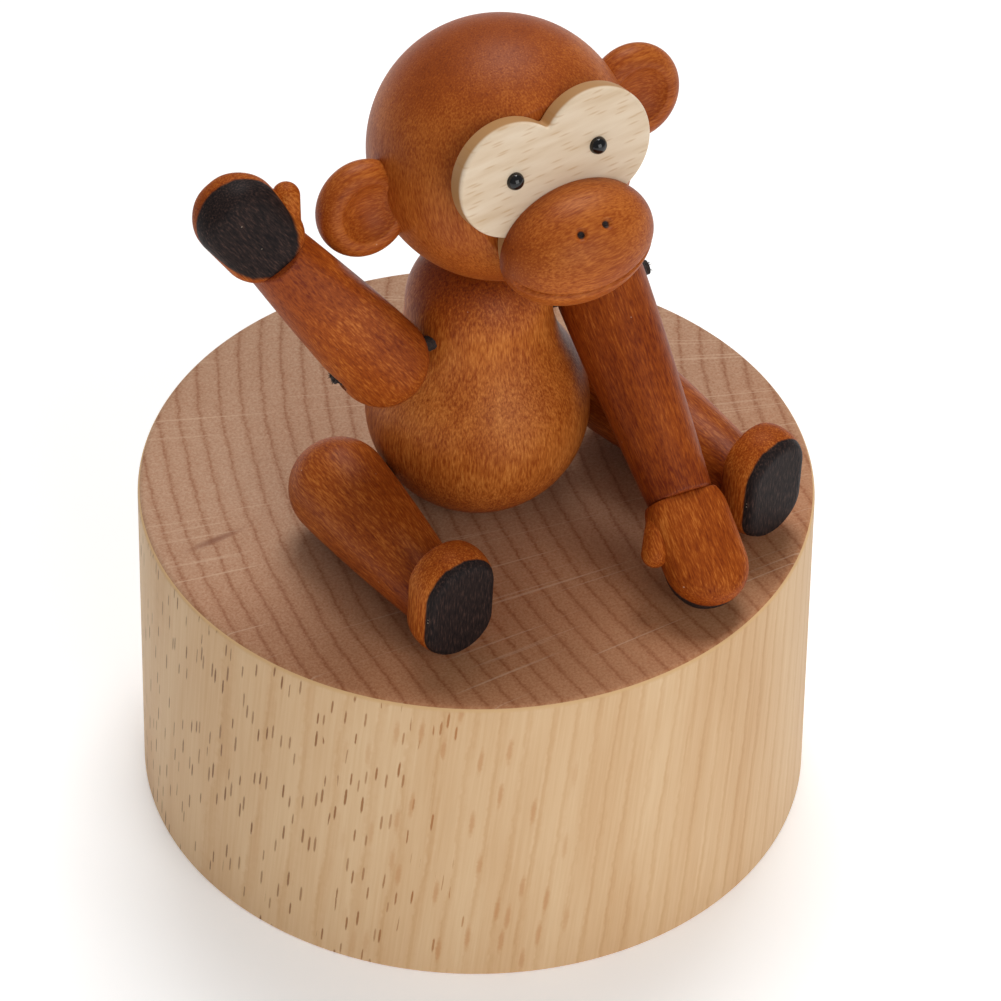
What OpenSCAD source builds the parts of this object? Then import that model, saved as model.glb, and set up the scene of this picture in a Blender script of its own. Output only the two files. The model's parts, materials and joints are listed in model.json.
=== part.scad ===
// Round wooden music box with a seated jointed toy monkey on its top.
// Millimetres, Z up, origin at the middle of the base's lower face, figure facing -Y.

/* [Base block] */
// outer diameter of the turned block
base_d = 80; // [74:0.5:100]
// height of the turned block
base_h = 42.5; // [41:0.5:60]
// rounding of the top edge
rim_round = 0.8; // [0.3:0.1:2]
// rounding of the bottom edge
foot_round = 0.4; // [0.3:0.1:2]
// radius of the cavity that the movement stands in
cavity_r = 30.5; // [30.2:0.1:32]
// height of the cavity that the movement stands in
cavity_h = 21.5; // [21:0.1:24]
// width of the shoulder that the bottom panel rests on
shoulder_w = 3; // [2:0.5:4]
// thickness of the plywood bottom panel
panel_t = 4; // [3:0.5:6]
// wood left above the movement
roof_t = 6; // [5:0.5:7]
// number of screws that hold the panel
panel_screw_n = 3; // [3:1:6]

/* [Movement] */
// barrel axis, left of the middle of the block
barrel_x = -14; // [-15:0.5:-13]
// cylinder and barrel axis, behind the middle of the block
train_y = 2; // [0:0.5:3]
// thickness of the cast bedplate
bed_t = 2.3; // [2:0.1:3]
// outer radius of the spring barrel
barrel_r = 11; // [10.8:0.1:11.4]
// height of the spring barrel below its crown teeth
barrel_h = 6.6; // [5:0.1:7]
// crown teeth on the barrel
crown_n = 40; // [40:1:40]
// leaves of the cylinder pinion
pinion_n = 10; // [10:1:10]
// length of the crown teeth and the pinion leaves
tooth_w = 2; // [1.6:0.1:2.2]
// radius of the tune cylinder
cyl_r = 5.6; // [5:0.1:5.8]
// length of the tune cylinder
cyl_len = 15; // [14:0.5:16]
// how far the tune pins stand out
pin_out = 0.5; // [0.3:0.05:0.6]
// notes of the comb
notes = 18; // [12:1:20]
// pins in each track of the cylinder
pins_per_note = 4; // [2:1:6]
// thickness of the steel comb
comb_t = 0.9; // [0.7:0.1:1.2]
// free length of the comb teeth
tooth_len = 10; // [8:0.5:11]
// teeth of the cylinder gear
gear_n = 45; // [45:1:45]
// leaves of the governor pinion
gov_pinion_n = 9; // [9:1:9]
// module of the cylinder gear pair
gear_m = 0.32; // [0.32:0.01:0.32]
// teeth of the governor wheel
wheel_n = 20; // [20:1:20]
// threads of the governor worm
worm_starts = 2; // [2:1:2]
// module of the worm pair
worm_m = 0.36; // [0.36:0.01:0.36]
// radius of the fan
fan_r = 3.8; // [3:0.1:3.9]

/* [Winding key] */
// length over both wings
key_span = 20; // [16:0.5:22]
// thickness of the wings
key_t = 1.8; // [1.4:0.1:2.4]
// angle of the wings at rest
key_angle = 35; // [0:5:180]

/* [Figure] */
// belly radius of the torso
belly_r = 13.2; // [12.5:0.1:13.6]
// chest radius of the torso
chest_r = 8.6; // [8:0.1:9]
// height of the chest's middle above the base
chest_z = 27.4; // [26.5:0.1:28.5]
// radius of the concave waist between belly and chest
waist_round = 14; // [10:0.5:20]
// radius of the head ball
head_r = 15.3; // [14.5:0.1:15.6]
// middle of the head above the base
head_z = 50; // [49.5:0.1:52]
// sideways place of the head's middle
head_x = 2; // [0:0.1:3]
// depth of the flat planed on the head for the face plate
face_cut = 3.4; // [3:0.1:4.5]
// thickness of the pale face plate
plate_t = 2.6; // [2:0.1:3.2]
// half width of the muzzle
muzzle_w = 9.4; // [8.5:0.1:9.8]
// radius of the muzzle's middle section
muzzle_r = 6.9; // [6.2:0.1:7.2]
// spacing of the eyes
eye_gap = 10.8; // [9:0.1:11.5]
// radius of the eye beads
eye_r = 1.05; // [0.8:0.05:1.3]
// radius of the ear discs
ear_r = 5.8; // [5:0.1:6]
// thickness of the ear discs
ear_t = 4.2; // [3.5:0.1:4.6]

/* [Limbs] */
// radius of the arm at the shoulder
arm_r = 5.5; // [5:0.1:5.7]
// radius of the arm at the wrist
wrist_r = 3.9; // [3.5:0.1:4.1]
// shoulder to wrist
arm_len = 27; // [25:0.5:28]
// radius of the hand
hand_r = 5; // [4.5:0.1:5.2]
// height of the shoulder cord above the base
shoulder_z = 26.5; // [26:0.1:27.5]
// radius of the leg at the hip
leg_r = 6; // [5.4:0.1:6.1]
// radius of the leg at the ankle
ankle_r = 3.9; // [3.4:0.1:4]
// hip to ankle
leg_len = 21; // [19:0.5:22]
// radius of the foot
foot_r = 4.9; // [4.4:0.1:5]
// height of the hip cord above the base
hip_z = 7.4; // [7:0.1:8]

/* [Pose] */
// outward lean of the right arm
right_arm_splay = 33; // [33:1:35]
// right arm, from straight down forward and up
right_arm_raise = 177; // [174:1:178]
// outward lean of the left arm
left_arm_splay = -3; // [-5:1:-2]
// left arm, from straight down forward and up
left_arm_raise = 54; // [53:1:60]
// legs, from straight down forward and up
leg_raise = 86; // [84:1:88]
// outward lean of the right leg
right_leg_splay = -4; // [-5:1:0]
// outward lean of the left leg
left_leg_splay = 14; // [13:1:16]
// turn of the head to its own right
head_turn = 0; // [0:1:6]
// lift of the face
head_lift = 13; // [10:1:15]
// sideways tilt of the head
head_roll = 5; // [3:1:8]

/* [Fits] */
// radial play of pieces that turn on each other
run_fit = 0.05; // [0.03:0.01:0.08]
// radial play of pieces that are fixed in each other
seat_fit = 0.02; // [0.01:0.01:0.04]
// open gap between pieces that pass each other
gap = 0.35; // [0.3:0.05:0.5]

/* [Hidden] */
$fn = 96;
eps = 0.01;
base_r = base_d / 2;
recess_r = cavity_r + shoulder_w;
roof_z = base_h - roof_t;
bed_z = roof_z - cavity_h;
bed_top = bed_z + bed_t;
recess_h = bed_z - panel_t;
wood = "#a5562c";
pale = "#e3c08f";
beech = "#d6b48c";
brass = "#c9a24a";
steel = "#a9adb2";
dark = "#2a1c16";
zinc = "#8d8f90";

// heights of the movement
barrel_lift = 0.6;
barrel_z = bed_top + barrel_lift;
crown_root = barrel_z + barrel_h;
crown_m = (2 * barrel_r - tooth_w) / crown_n;
crown_add = 0.8 * crown_m;
crown_ded = 1.1 * crown_m;
crown_pitch_r = crown_m * crown_n / 2;
pinion_r = crown_m * pinion_n / 2;
axis_z = crown_root + crown_ded + pinion_r;
arbor_r = 1.6;
hub_r = 2.6;
cup_wall = 1.9;
cup_r = barrel_r - cup_wall;
cup_floor = 0.8;
cover_t = 0.8;

// places along the cylinder axis
pinion_x = barrel_x + crown_pitch_r - tooth_w / 2;
post_w = 1.4;
left_post = barrel_x + barrel_r + gap;
cyl_x = left_post + post_w + gap;
gear_w = 1.2;
gear_x = cyl_x + cyl_len + gap;
right_post = gear_x + gear_w + gap;
axle_r = 0.8;
axle_over = 0.4;
axle_end = right_post + post_w + axle_over;
post_half = 2;
post_over = 1.8;

// governor
gear_r = gear_m * gear_n / 2;
gov_pinion_r = gear_m * gov_pinion_n / 2;
gov_drop = 17;
gov_dist = gear_r + gov_pinion_r;
gov_y = train_y + gov_dist * cos(gov_drop);
gov_z = axis_z - gov_dist * sin(gov_drop);
wheel_r = worm_m * wheel_n / 2;
wheel_w = 0.8;
wheel_x = right_post + post_w + gap;
worm_r = 1.5;
worm_lead = PI * worm_m * worm_starts;
worm_x = wheel_x + wheel_w / 2;
worm_y = gov_y + wheel_r + worm_r;
worm_half = 3;
gov_axle_r = 0.6;
cheek_w = 1.2;
cheek_x1 = gear_x - gap - cheek_w;
cheek_gap = 1;
cheek_x2 = wheel_x + wheel_w + cheek_gap;
cheek_half = 1.6;
frame_t = 1.4;
frame_back = worm_y + fan_r + gap;
frame_under = 1.6;
frame_top = roof_z - frame_under;
arm_half = 2;
arm_front = 1.6;
pivot_r = 0.5;
fan_z = gov_z + wheel_r + worm_m + gap;
fan_h = frame_top - frame_t - fan_z - gap;

// comb
cyl_end = 0.3;
pitch_note = (cyl_len - 2 * cyl_end) / notes;
comb_tip = train_y - cyl_r - pin_out - gap;
comb_body = 6;
comb_back = comb_tip - tooth_len - comb_body;
comb_z = axis_z - comb_t / 2;
comb_x = cyl_x + cyl_end;
block_edge = 0.6;
comb_w = pitch_note * notes;
comb_screw_y = comb_back + comb_body / 2;
comb_screw_r = 1;

pin_r = 0.15;
pin_in = 0.2;
cyl_wall = 0.7;
cyl_cap = 1;

// screws
panel_screw_r = 0.8;
panel_screw_len = 8;
panel_screw_at = recess_r - 2 * panel_screw_r - gap;
bed_screw_r = 1.3;
bed_screw_head = 2.4;
bed_screw_h = 1.6;
bed_screw_at = [[-19, -13], [17.5, -13], [2, 17.5]];
bed_play = 0.8;
bed_edge = cavity_r - bed_play;
bed_rim = 1.2;
bed_x1 = barrel_x - barrel_r - bed_rim;
bed_x2 = cheek_x2 + cheek_w + bed_rim / 2;
bed_y1 = comb_back - bed_rim;
bed_y2 = frame_back + frame_t + bed_rim / 3;
seat_screw_r = 1.3;
seat_screw_up = 5.5;
seat_head_h = 1.4;

// figure
seat_flat = 0.8;
belly_z = belly_r - seat_flat;
neck_c = [head_x, -1, head_z];
neck_foot = [0, 0, chest_z];
neck_dir = neck_c - neck_foot;
neck_lean = acos(neck_dir[2] / norm(neck_dir));
neck_way = atan2(neck_dir[1], neck_dir[0]);
neck_r = 1.8;
neck_in = 7;
face_y = head_r - face_cut;
ear_out = 2.6;
ear_at = head_r + ear_out;
ear_cut = 1;
ear_flat = head_r - ear_cut;
ear_dowel_r = 0.8;
ear_dowel_in = 3;
ear_dowel_len = 7;
end_play = 0.3;
cord_r = 0.9;
knot_r = 1.4;
knot_in = 2;
hip_y = -1;
arm_x = chest_r + arm_r + gap;
leg_x = sqrt(pow(belly_r + leg_r + gap, 2) - pow(belly_z - hip_z, 2) - hip_y * hip_y);
shoulder_y = -3;
shoulder_reach = arm_x + arm_r - knot_in + knot_r + gap;
hip_cover = 3;
hip_reach = leg_x + leg_r - hip_cover;
hand_len = 6;
hand_half = 3.2;
foot_len = 5;
foot_t = 5.2;
foot_mid = 2.4;
heel = hip_z - (leg_len + foot_t) * cos(leg_raise) - foot_r - gap;
tenon_r = 1.5;
tenon_len = 3;
tenon_play = 0.3;

comb_screw_len = 4;
comb_screw_at = [[comb_x + comb_w * 0.25, comb_screw_y], [comb_x + comb_w * 0.75, comb_screw_y]];
gov_screw_x = cheek_x1 + 2.4;
gov_screw_y = frame_back - 2.6;
clutch_wire = 0.3;
clutch_r = arbor_r + clutch_wire + gap;
clutch_pitch = 0.72;
clutch_turns = 4;
spring_t = 0.3;
spring_turns = 8;
key_z = 2;
wing_r = (recess_h - key_z - bed_screw_h) / 2;
hub_play = 0.6;
hub_floor = 1;
worm_a1 = 42;
worm_a2 = 24;
worm_phase = -360 * worm_half / worm_lead;
ear_y = 0.5;
ear_z = -0.5;
dish_r = ear_r - ear_t / 2;
dish_depth = 1.6;
ear_dowel_y = ear_y + dish_depth / 2;
eye_pin = 0.5;
lobe_z = 3.8;
lobe_r = 6.9;
cheek_r = 8.2;
muzzle_z = -6;
muzzle_out = 1;
mouth_drop = 32;
mouth_gap = 0.5;
mouth_in = muzzle_r - 1;
nostril_gap = 1.7;
nostril_r = 0.55;
hand_top = 2.4;
thumb_r = 1.6;
thumb_len = 4.2;
thumb_out = 0.5;
thumb_down = 3;
thumb_lean = 30;

// involute point at radius r of a gear with base radius b: angle in degrees
function inv_deg(r, b) = let (q = sqrt(max(r * r / (b * b) - 1, 0))) q * 180 / PI - atan(q);

// outline of a spur gear with n teeth of module m; one tooth points along +X
function gear_outline(n, m, add, ded, thick) =
    let (r = m * n / 2, b = r * cos(20), ro = r + add * m, rr = r - ded * m,
        half = 180 * thick / n, shift = half + inv_deg(r, b), low = max(b, rr), steps = 4)
    [for (i = [0:n - 1]) for (p = concat(
        [[rr, -shift]],
        [for (k = [0:steps]) let (q = low + (ro - low) * k / steps) [q, inv_deg(q, b) - shift]],
        [for (k = [steps:-1:0]) let (q = low + (ro - low) * k / steps) [q, shift - inv_deg(q, b)]],
        [[rr, shift]]))
        p[0] * [cos(p[1] + 360 * i / n), sin(p[1] + 360 * i / n)]];

// outline of a tapered limb, thick round end at the origin, wrist at len
function limb_outline(ra, rb, len) = concat(
    [[0, -ra]],
    [for (a = [-84:6:0]) ra * [cos(a), sin(a)]],
    [for (k = [1:12]) [rb + (ra - rb) * (1 - pow(k / 12, 1.3)), len * k / 12]],
    [[0, len]]);

// strip that coils inwards from radius r1 to r0, t thick, for n turns
function coil_strip(r0, r1, t, n) = concat(
    [for (k = [0:n * 24]) (r0 + (r1 - r0) * k / n / 24) * [cos(15 * k), sin(15 * k)]],
    [for (k = [n * 24:-1:0]) (r0 + t + (r1 - r0) * k / n / 24) * [cos(15 * k), sin(15 * k)]]);

// cylinder along X from x1 to x2
module rod_x(r, x1, x2) {
    translate([x1, 0, 0])
        rotate([0, 90, 0])
            cylinder(r = r, h = x2 - x1);
}

// plate standing across the X axis between x1 and x1 + w
module across(x1, w) {
    translate([x1, 0, 0])
        rotate([90, 0, 90])
            linear_extrude(w)
                children();
}

// rod with two half balls, from the origin up to len
module capsule(r, len) {
    cylinder(r = r, h = len);
    sphere(r);
    translate([0, 0, len])
        sphere(r);
}

module at_each(list) {
    for (p = list)
        translate([p[0], p[1], 0])
            children();
}

module ring_of(n, r) {
    for (i = [0:n - 1])
        rotate(30 + 360 * i / n)
            translate([r, 0, 0])
                children();
}

module on_axis() {
    translate([0, train_y, axis_z])
        children();
}

module on_governor() {
    translate([0, gov_y, gov_z])
        children();
}

module on_worm() {
    translate([worm_x, worm_y, 0])
        children();
}

module on_barrel() {
    translate([barrel_x, train_y, 0])
        children();
}

module on_top() {
    translate([0, 0, base_h])
        children();
}

module base_block() {
    color(beech)
        difference() {
            rotate_extrude($fn = 180)
                difference() {
                    union() {
                        translate([0, foot_round])
                            square([base_r, base_h - foot_round - rim_round]);
                        square([base_r - foot_round, base_h]);
                        translate([base_r - foot_round, foot_round])
                            circle(foot_round, $fn = 32);
                        translate([0, base_h - rim_round - eps])
                            square([base_r - rim_round, rim_round + eps]);
                        translate([base_r - rim_round, base_h - rim_round])
                            circle(rim_round, $fn = 32);
                    }
                    translate([base_r - rim_round, base_h - rim_round])
                        difference() {
                            square(rim_round + 1);
                            circle(rim_round, $fn = 32);
                        }
                    square([recess_r, bed_z]);
                    square([cavity_r, roof_z]);
                    square([seat_screw_r + seat_fit, base_h]);
                }
            ring_of(panel_screw_n, panel_screw_at)
                translate([0, 0, bed_z - 1])
                    cylinder(r = panel_screw_r + seat_fit, h = panel_screw_len - panel_t + 1.5, $fn = 24);
        }
}

module bottom_panel() {
    color(pale)
        difference() {
            translate([0, 0, recess_h])
                cylinder(r = recess_r - 0.1, h = panel_t);
            on_barrel()
                cylinder(r = hub_r + 1, h = base_h);
            at_each(bed_screw_at)
                cylinder(r = bed_screw_r + seat_fit, h = base_h, $fn = 32);
            ring_of(panel_screw_n, panel_screw_at) {
                cylinder(r = panel_screw_r + seat_fit, h = base_h, $fn = 24);
                translate([0, 0, recess_h - eps])
                    cylinder(r1 = 2 * panel_screw_r + seat_fit, r2 = panel_screw_r + seat_fit,
                        h = panel_screw_r + eps, $fn = 24);
            }
        }
}

module panel_screws() {
    color(steel)
        ring_of(panel_screw_n, panel_screw_at)
            translate([0, 0, recess_h])
                difference() {
                    union() {
                        cylinder(r = panel_screw_r, h = panel_screw_len, $fn = 24);
                        cylinder(r1 = 2 * panel_screw_r, r2 = panel_screw_r, h = panel_screw_r, $fn = 24);
                    }
                    cube([5 * panel_screw_r, 0.4, 0.8], center = true);
                }
}

module movement_screws() {
    color(steel)
        at_each(bed_screw_at)
            difference() {
                union() {
                    translate([0, 0, recess_h - bed_screw_h])
                        cylinder(r = bed_screw_head, h = bed_screw_h, $fn = 32);
                    translate([0, 0, recess_h - eps])
                        cylinder(r = bed_screw_r, h = panel_t + bed_t + 0.4, $fn = 32);
                }
                translate([0, 0, recess_h - bed_screw_h])
                    cube([3 * bed_screw_head, 0.6, 1.4], center = true);
            }
}

module seat_screw() {
    color(steel) {
        translate([0, 0, roof_z - seat_head_h])
            cylinder(r = 2 * seat_screw_r, h = seat_head_h, $fn = 32);
        translate([0, 0, roof_z - eps])
            cylinder(r = seat_screw_r, h = roof_t + seat_screw_up, $fn = 32);
    }
}

module torso_outline() {
    s = chest_z - belly_z;
    a = belly_r + waist_round;
    b = chest_r + waist_round;
    up = (s * s + a * a - b * b) / (2 * s);
    out = sqrt(a * a - up * up);
    intersection() {
        square([3 * belly_r, 3 * chest_z]);
        union() {
            translate([0, belly_z])
                circle(belly_r);
            translate([0, chest_z])
                circle(chest_r);
            difference() {
                polygon([[0, belly_z], [out, up] * belly_r / a + [0, belly_z],
                    [out, up - s] * chest_r / b + [0, chest_z], [0, chest_z]]);
                translate([out, belly_z + up])
                    circle(waist_round);
            }
        }
    }
}

module torso() {
    color(wood)
        on_top()
            difference() {
                rotate_extrude()
                    torso_outline();
                translate(neck_c)
                    sphere(head_r + gap);
                on_neck()
                    cylinder(r = neck_r + seat_fit, h = head_r, $fn = 32);
                translate([0, 0, -eps])
                    cylinder(r = seat_screw_r + seat_fit, h = seat_screw_up + 0.5, $fn = 32);
                translate([0, shoulder_y, shoulder_z])
                    rod_x(cord_r + seat_fit, -belly_r, belly_r);
                translate([0, hip_y, hip_z])
                    rod_x(cord_r + seat_fit, -2 * belly_r, 2 * belly_r);
            }
}

// frame at the foot of the neck hole, Z along the neck
module on_neck() {
    translate(neck_c)
        rotate([0, neck_lean, neck_way])
            translate([0, 0, -head_r - neck_in])
                children();
}

module neck_dowel() {
    color(pale)
        on_top()
            on_neck()
                translate([0, 0, 0.2])
                    cylinder(r = neck_r, h = 2 * neck_in, $fn = 32);
}

// elastic cord through the shoulders, with a knot outside each arm
module shoulder_cord() {
    color(dark)
        on_top()
            translate([0, shoulder_y, shoulder_z]) {
                rod_x(cord_r, -shoulder_reach, shoulder_reach);
                for (side = [-1, 1])
                    translate([side * shoulder_reach, 0, 0])
                        sphere(knot_r);
            }
}

// elastic cord through the hips, its ends glued into blind holes in the legs
module hip_cord() {
    color(dark)
        on_top()
            translate([0, hip_y, hip_z])
                rod_x(cord_r, -hip_reach, hip_reach);
}

module bedplate() {
    color(zinc)
        difference() {
            union() {
                translate([0, 0, bed_z])
                    linear_extrude(bed_t)
                        intersection() {
                            translate([bed_x1, bed_y1])
                                square([bed_x2 - bed_x1, bed_y2 - bed_y1]);
                            circle(bed_edge);
                        }
                for (x = [left_post, right_post])
                    translate([x, train_y - post_half, bed_top - eps])
                        cube([post_w, 2 * post_half, axis_z - bed_top + post_over]);
                translate([comb_x - block_edge, comb_back, bed_top - eps])
                    cube([comb_w + 2 * block_edge, comb_body - block_edge, comb_z - bed_top + eps]);
            }
            on_axis()
                rod_x(axle_r + run_fit, left_post - 1, right_post + post_w + 1);
            on_barrel()
                cylinder(r = arbor_r + run_fit, h = base_h);
            at_each(bed_screw_at)
                cylinder(r = bed_screw_r + seat_fit, h = base_h, $fn = 32);
            at_each(comb_screw_at)
                translate([0, 0, comb_z - comb_screw_len])
                    cylinder(r = comb_screw_r + seat_fit, h = base_h, $fn = 24);
            translate([gov_screw_x, gov_screw_y, 0])
                cylinder(r = comb_screw_r + seat_fit, h = base_h, $fn = 24);
        }
}

module comb() {
    color(steel)
        translate([comb_x, 0, comb_z])
            difference() {
                linear_extrude(comb_t) {
                    translate([0, comb_back])
                        square([comb_w, comb_body]);
                    for (i = [0:notes - 1])
                        translate([i * pitch_note + pitch_note * 0.15, comb_tip - tooth_len - eps])
                            square([pitch_note * 0.7, tooth_len + eps]);
                }
                at_each(comb_screw_at)
                    translate([-comb_x, 0, -1])
                        cylinder(r = comb_screw_r + seat_fit, h = 4, $fn = 24);
            }
}

module comb_screws() {
    color(steel)
        at_each(comb_screw_at)
            translate([0, 0, comb_z + comb_t])
                slotted_screw(comb_screw_len + comb_t - 0.3);
}

// cheese-head screw, seat of the head at z = 0, shank below
module slotted_screw(len) {
    difference() {
        union() {
            cylinder(r = 2 * comb_screw_r, h = comb_screw_r, $fn = 32);
            translate([0, 0, -len])
                cylinder(r = comb_screw_r, h = len + eps, $fn = 24);
        }
        translate([0, 0, comb_screw_r])
            cube([5 * comb_screw_r, 0.5, comb_screw_r], center = true);
    }
}

module governor_frame() {
    color(brass)
        difference() {
            union() {
                translate([cheek_x1, gov_y - cheek_half, bed_top])
                    cube([cheek_x2 + cheek_w - cheek_x1, frame_back + frame_t - gov_y + cheek_half, frame_t]);
                for (x = [cheek_x1, cheek_x2])
                    translate([x, gov_y - cheek_half, bed_top])
                        cube([cheek_w, 2 * cheek_half, gov_z + cheek_half - bed_top]);
                translate([worm_x - arm_half, frame_back, bed_top])
                    cube([2 * arm_half, frame_t, frame_top - bed_top]);
                translate([worm_x - arm_half, worm_y - arm_front, frame_top - frame_t])
                    cube([2 * arm_half, frame_back - worm_y + arm_front + eps, frame_t]);
            }
            on_governor()
                rod_x(gov_axle_r + run_fit, cheek_x1 - 1, cheek_x2 + 2 * cheek_w);
            on_worm() {
                translate([0, 0, bed_top + 0.6])
                    cylinder(r = pivot_r + run_fit, h = frame_t, $fn = 24);
                translate([0, 0, frame_top - frame_t - eps])
                    cylinder(r = pivot_r + run_fit, h = 2 * frame_t, $fn = 24);
            }
            translate([gov_screw_x, gov_screw_y, 0])
                cylinder(r = comb_screw_r + seat_fit, h = base_h, $fn = 24);
        }
}

module governor_screw() {
    color(steel)
        translate([gov_screw_x, gov_screw_y, bed_top + frame_t])
            slotted_screw(frame_t + bed_t - 0.3);
}

// wire wound round the winding arbor, ring by ring along a helix
module clutch_spring() {
    sides = 6;
    per_turn = 12;
    rings = clutch_turns * per_turn;
    points = [for (i = [0:rings]) for (k = [0:sides - 1])
        let (a = 360 * i / per_turn, q = clutch_r + clutch_wire * cos(60 * k))
        [q * cos(a), q * sin(a), clutch_pitch * i / per_turn + clutch_wire * sin(60 * k)]];
    walls = [for (i = [0:rings - 1]) for (k = [0:sides - 1]) let (n = (k + 1) % sides)
        [i * sides + k, i * sides + n, (i + 1) * sides + n, (i + 1) * sides + k]];
    ends = [[for (k = [sides - 1:-1:0]) k], [for (k = [0:sides - 1]) rings * sides + k]];
    color(steel)
        on_barrel()
            translate([0, 0, recess_h + 0.4 + clutch_wire])
                polyhedron(points, concat(walls, ends));
}

module winding_key() {
    color(brass)
        on_barrel()
            rotate(key_angle)
                difference() {
                    union() {
                        translate([0, 0, key_z])
                            cylinder(r = hub_r, h = recess_h - key_z - hub_play, $fn = 48);
                        for (side = [-1, 1])
                            translate([side * (key_span / 2 - wing_r), 0, key_z + wing_r])
                                rotate([90, 0, 0])
                                    cylinder(r = wing_r, h = key_t, center = true, $fn = 64);
                        translate([0, 0, key_z + wing_r])
                            cube([key_span - 2 * wing_r, key_t, wing_r], center = true);
                    }
                    for (side = [-1, 1])
                        translate([side * (key_span / 2 - wing_r), 0, key_z + wing_r])
                            rotate([90, 0, 0])
                                cylinder(r = wing_r / 2, h = 3 * key_t, center = true, $fn = 48);
                    translate([0, 0, key_z + hub_floor])
                        cylinder(r = arbor_r + seat_fit, h = base_h, $fn = 48);
                }
}

module winding_arbor() {
    color(steel)
        on_barrel() {
            translate([0, 0, key_z + hub_floor])
                cylinder(r = arbor_r, h = crown_root + hub_floor - key_z, $fn = 48);
            translate([0, 0, barrel_z + cup_floor + gap])
                cylinder(r = hub_r, h = barrel_h - cup_floor - cover_t - 2 * gap, $fn = 48);
        }
}

module spring_barrel() {
    half = 180 * 0.4 / crown_n;
    color(brass)
        on_barrel()
            difference() {
                union() {
                    translate([0, 0, barrel_z])
                        cylinder(r = barrel_r, h = barrel_h);
                    translate([0, 0, crown_root - eps])
                        linear_extrude(crown_ded + crown_add + eps)
                            for (i = [0:crown_n - 1])
                                rotate(360 * (i + 0.5) / crown_n)
                                    polygon([for (q = [[cup_r + 0.2, -1], [barrel_r, -1], [barrel_r, 1],
                                        [cup_r + 0.2, 1]]) q[0] * [cos(half * q[1]), sin(half * q[1])]]);
                }
                translate([0, 0, barrel_z + cup_floor])
                    cylinder(r = cup_r, h = base_h);
                cylinder(r = arbor_r + run_fit, h = base_h, $fn = 48);
            }
}

module barrel_cover() {
    color(brass)
        on_barrel()
            translate([0, 0, crown_root - cover_t])
                difference() {
                    cylinder(r = cup_r - seat_fit, h = cover_t);
                    translate([0, 0, -1])
                        cylinder(r = arbor_r + run_fit, h = 2 + cover_t, $fn = 48);
                }
}

module mainspring() {
    color(steel)
        on_barrel()
            translate([0, 0, barrel_z + cup_floor])
                linear_extrude(barrel_h - cup_floor - cover_t)
                    polygon(coil_strip(hub_r + gap, cup_r - 0.5, spring_t, spring_turns));
}

module tune_cylinder() {
    color(brass)
        on_axis()
            difference() {
                rod_x(cyl_r, cyl_x, cyl_x + cyl_len);
                rod_x(axle_r + seat_fit, cyl_x - 1, cyl_x + cyl_len + 1);
                rod_x(cyl_r - cyl_wall, cyl_x + cyl_cap, cyl_x + cyl_len - cyl_cap);
            }
}

// pins set track by track round the cylinder, each track turned on by an uneven angle
module tune_pins() {
    color(steel)
        on_axis()
            for (i = [0:notes - 1])
                for (k = [0:pins_per_note - 1])
                    translate([comb_x + (i + 0.5) * pitch_note, 0, 0])
                        rotate([47 * i + 360 * (k + 0.3 * sin(110 * i + 70 * k)) / pins_per_note, 0, 0])
                            translate([0, 0, cyl_r - pin_in])
                                cylinder(r = pin_r, h = pin_out + pin_in, $fn = 16);
}

module cylinder_axle() {
    color(steel)
        on_axis()
            rod_x(axle_r, pinion_x - 0.6, axle_end, $fn = 32);
}

module cylinder_pinion() {
    color(brass)
        on_axis()
            across(pinion_x, tooth_w)
                difference() {
                    rotate(-90)
                        polygon(gear_outline(pinion_n, crown_m, 0.8, 1.1, 0.4));
                    circle(axle_r + seat_fit, $fn = 32);
                }
}

module cylinder_gear() {
    color(brass)
        on_axis()
            across(gear_x, gear_w)
                difference() {
                    rotate(-gov_drop + 180 / gear_n)
                        polygon(gear_outline(gear_n, gear_m, 0.8, 1.1, 0.42));
                    circle(axle_r + seat_fit, $fn = 32);
                }
}

module governor_wheel() {
    color(brass)
        on_governor()
            difference() {
                union() {
                    across(gear_x - 0.2, wheel_x - gear_x + 0.2)
                        rotate(180 - gov_drop)
                            polygon(gear_outline(gov_pinion_n, gear_m, 0.8, 1.1, 0.42));
                    across(wheel_x - eps, wheel_w + eps)
                        polygon(gear_outline(wheel_n, worm_m, 0.5, 1.1, 0.36));
                }
                rod_x(gov_axle_r + seat_fit, gear_x - 1, wheel_x + 2, $fn = 32);
            }
}

module governor_axle() {
    color(steel)
        on_governor()
            rod_x(gov_axle_r, cheek_x1 + 0.2, cheek_x2 + cheek_w - 0.2, $fn = 32);
}

module governor_worm() {
    core = worm_r - worm_m;
    crest = worm_r + 0.5 * worm_m;
    turns = 2 * worm_half / worm_lead;
    color(steel)
        on_worm() {
            translate([0, 0, bed_top + 0.8])
                cylinder(r = pivot_r, h = frame_top - bed_top - 1, $fn = 24);
            translate([0, 0, gov_z - worm_half - 0.5])
                cylinder(r = core, h = 2 * worm_half + 1, $fn = 24);
            translate([0, 0, gov_z - worm_half])
                linear_extrude(2 * worm_half, twist = -360 * turns, slices = 40, $fn = 12)
                    rotate(worm_phase)
                        for (k = [0:worm_starts - 1])
                            rotate(360 * k / worm_starts)
                                polygon([[0, 0], core * [cos(worm_a1), -sin(worm_a1)],
                                    crest * [cos(worm_a2), -sin(worm_a2)], crest * [cos(worm_a2), sin(worm_a2)],
                                    core * [cos(worm_a1), sin(worm_a1)]]);
        }
}

module governor_fan() {
    color(brass)
        on_worm()
            difference() {
                union() {
                    translate([0, 0, fan_z])
                        cylinder(r = pivot_r + 0.5, h = fan_h, $fn = 32);
                    translate([-fan_r, -0.2, fan_z])
                        cube([2 * fan_r, 0.4, fan_h]);
                }
                cylinder(r = pivot_r + seat_fit, h = base_h, $fn = 24);
            }
}

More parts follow.
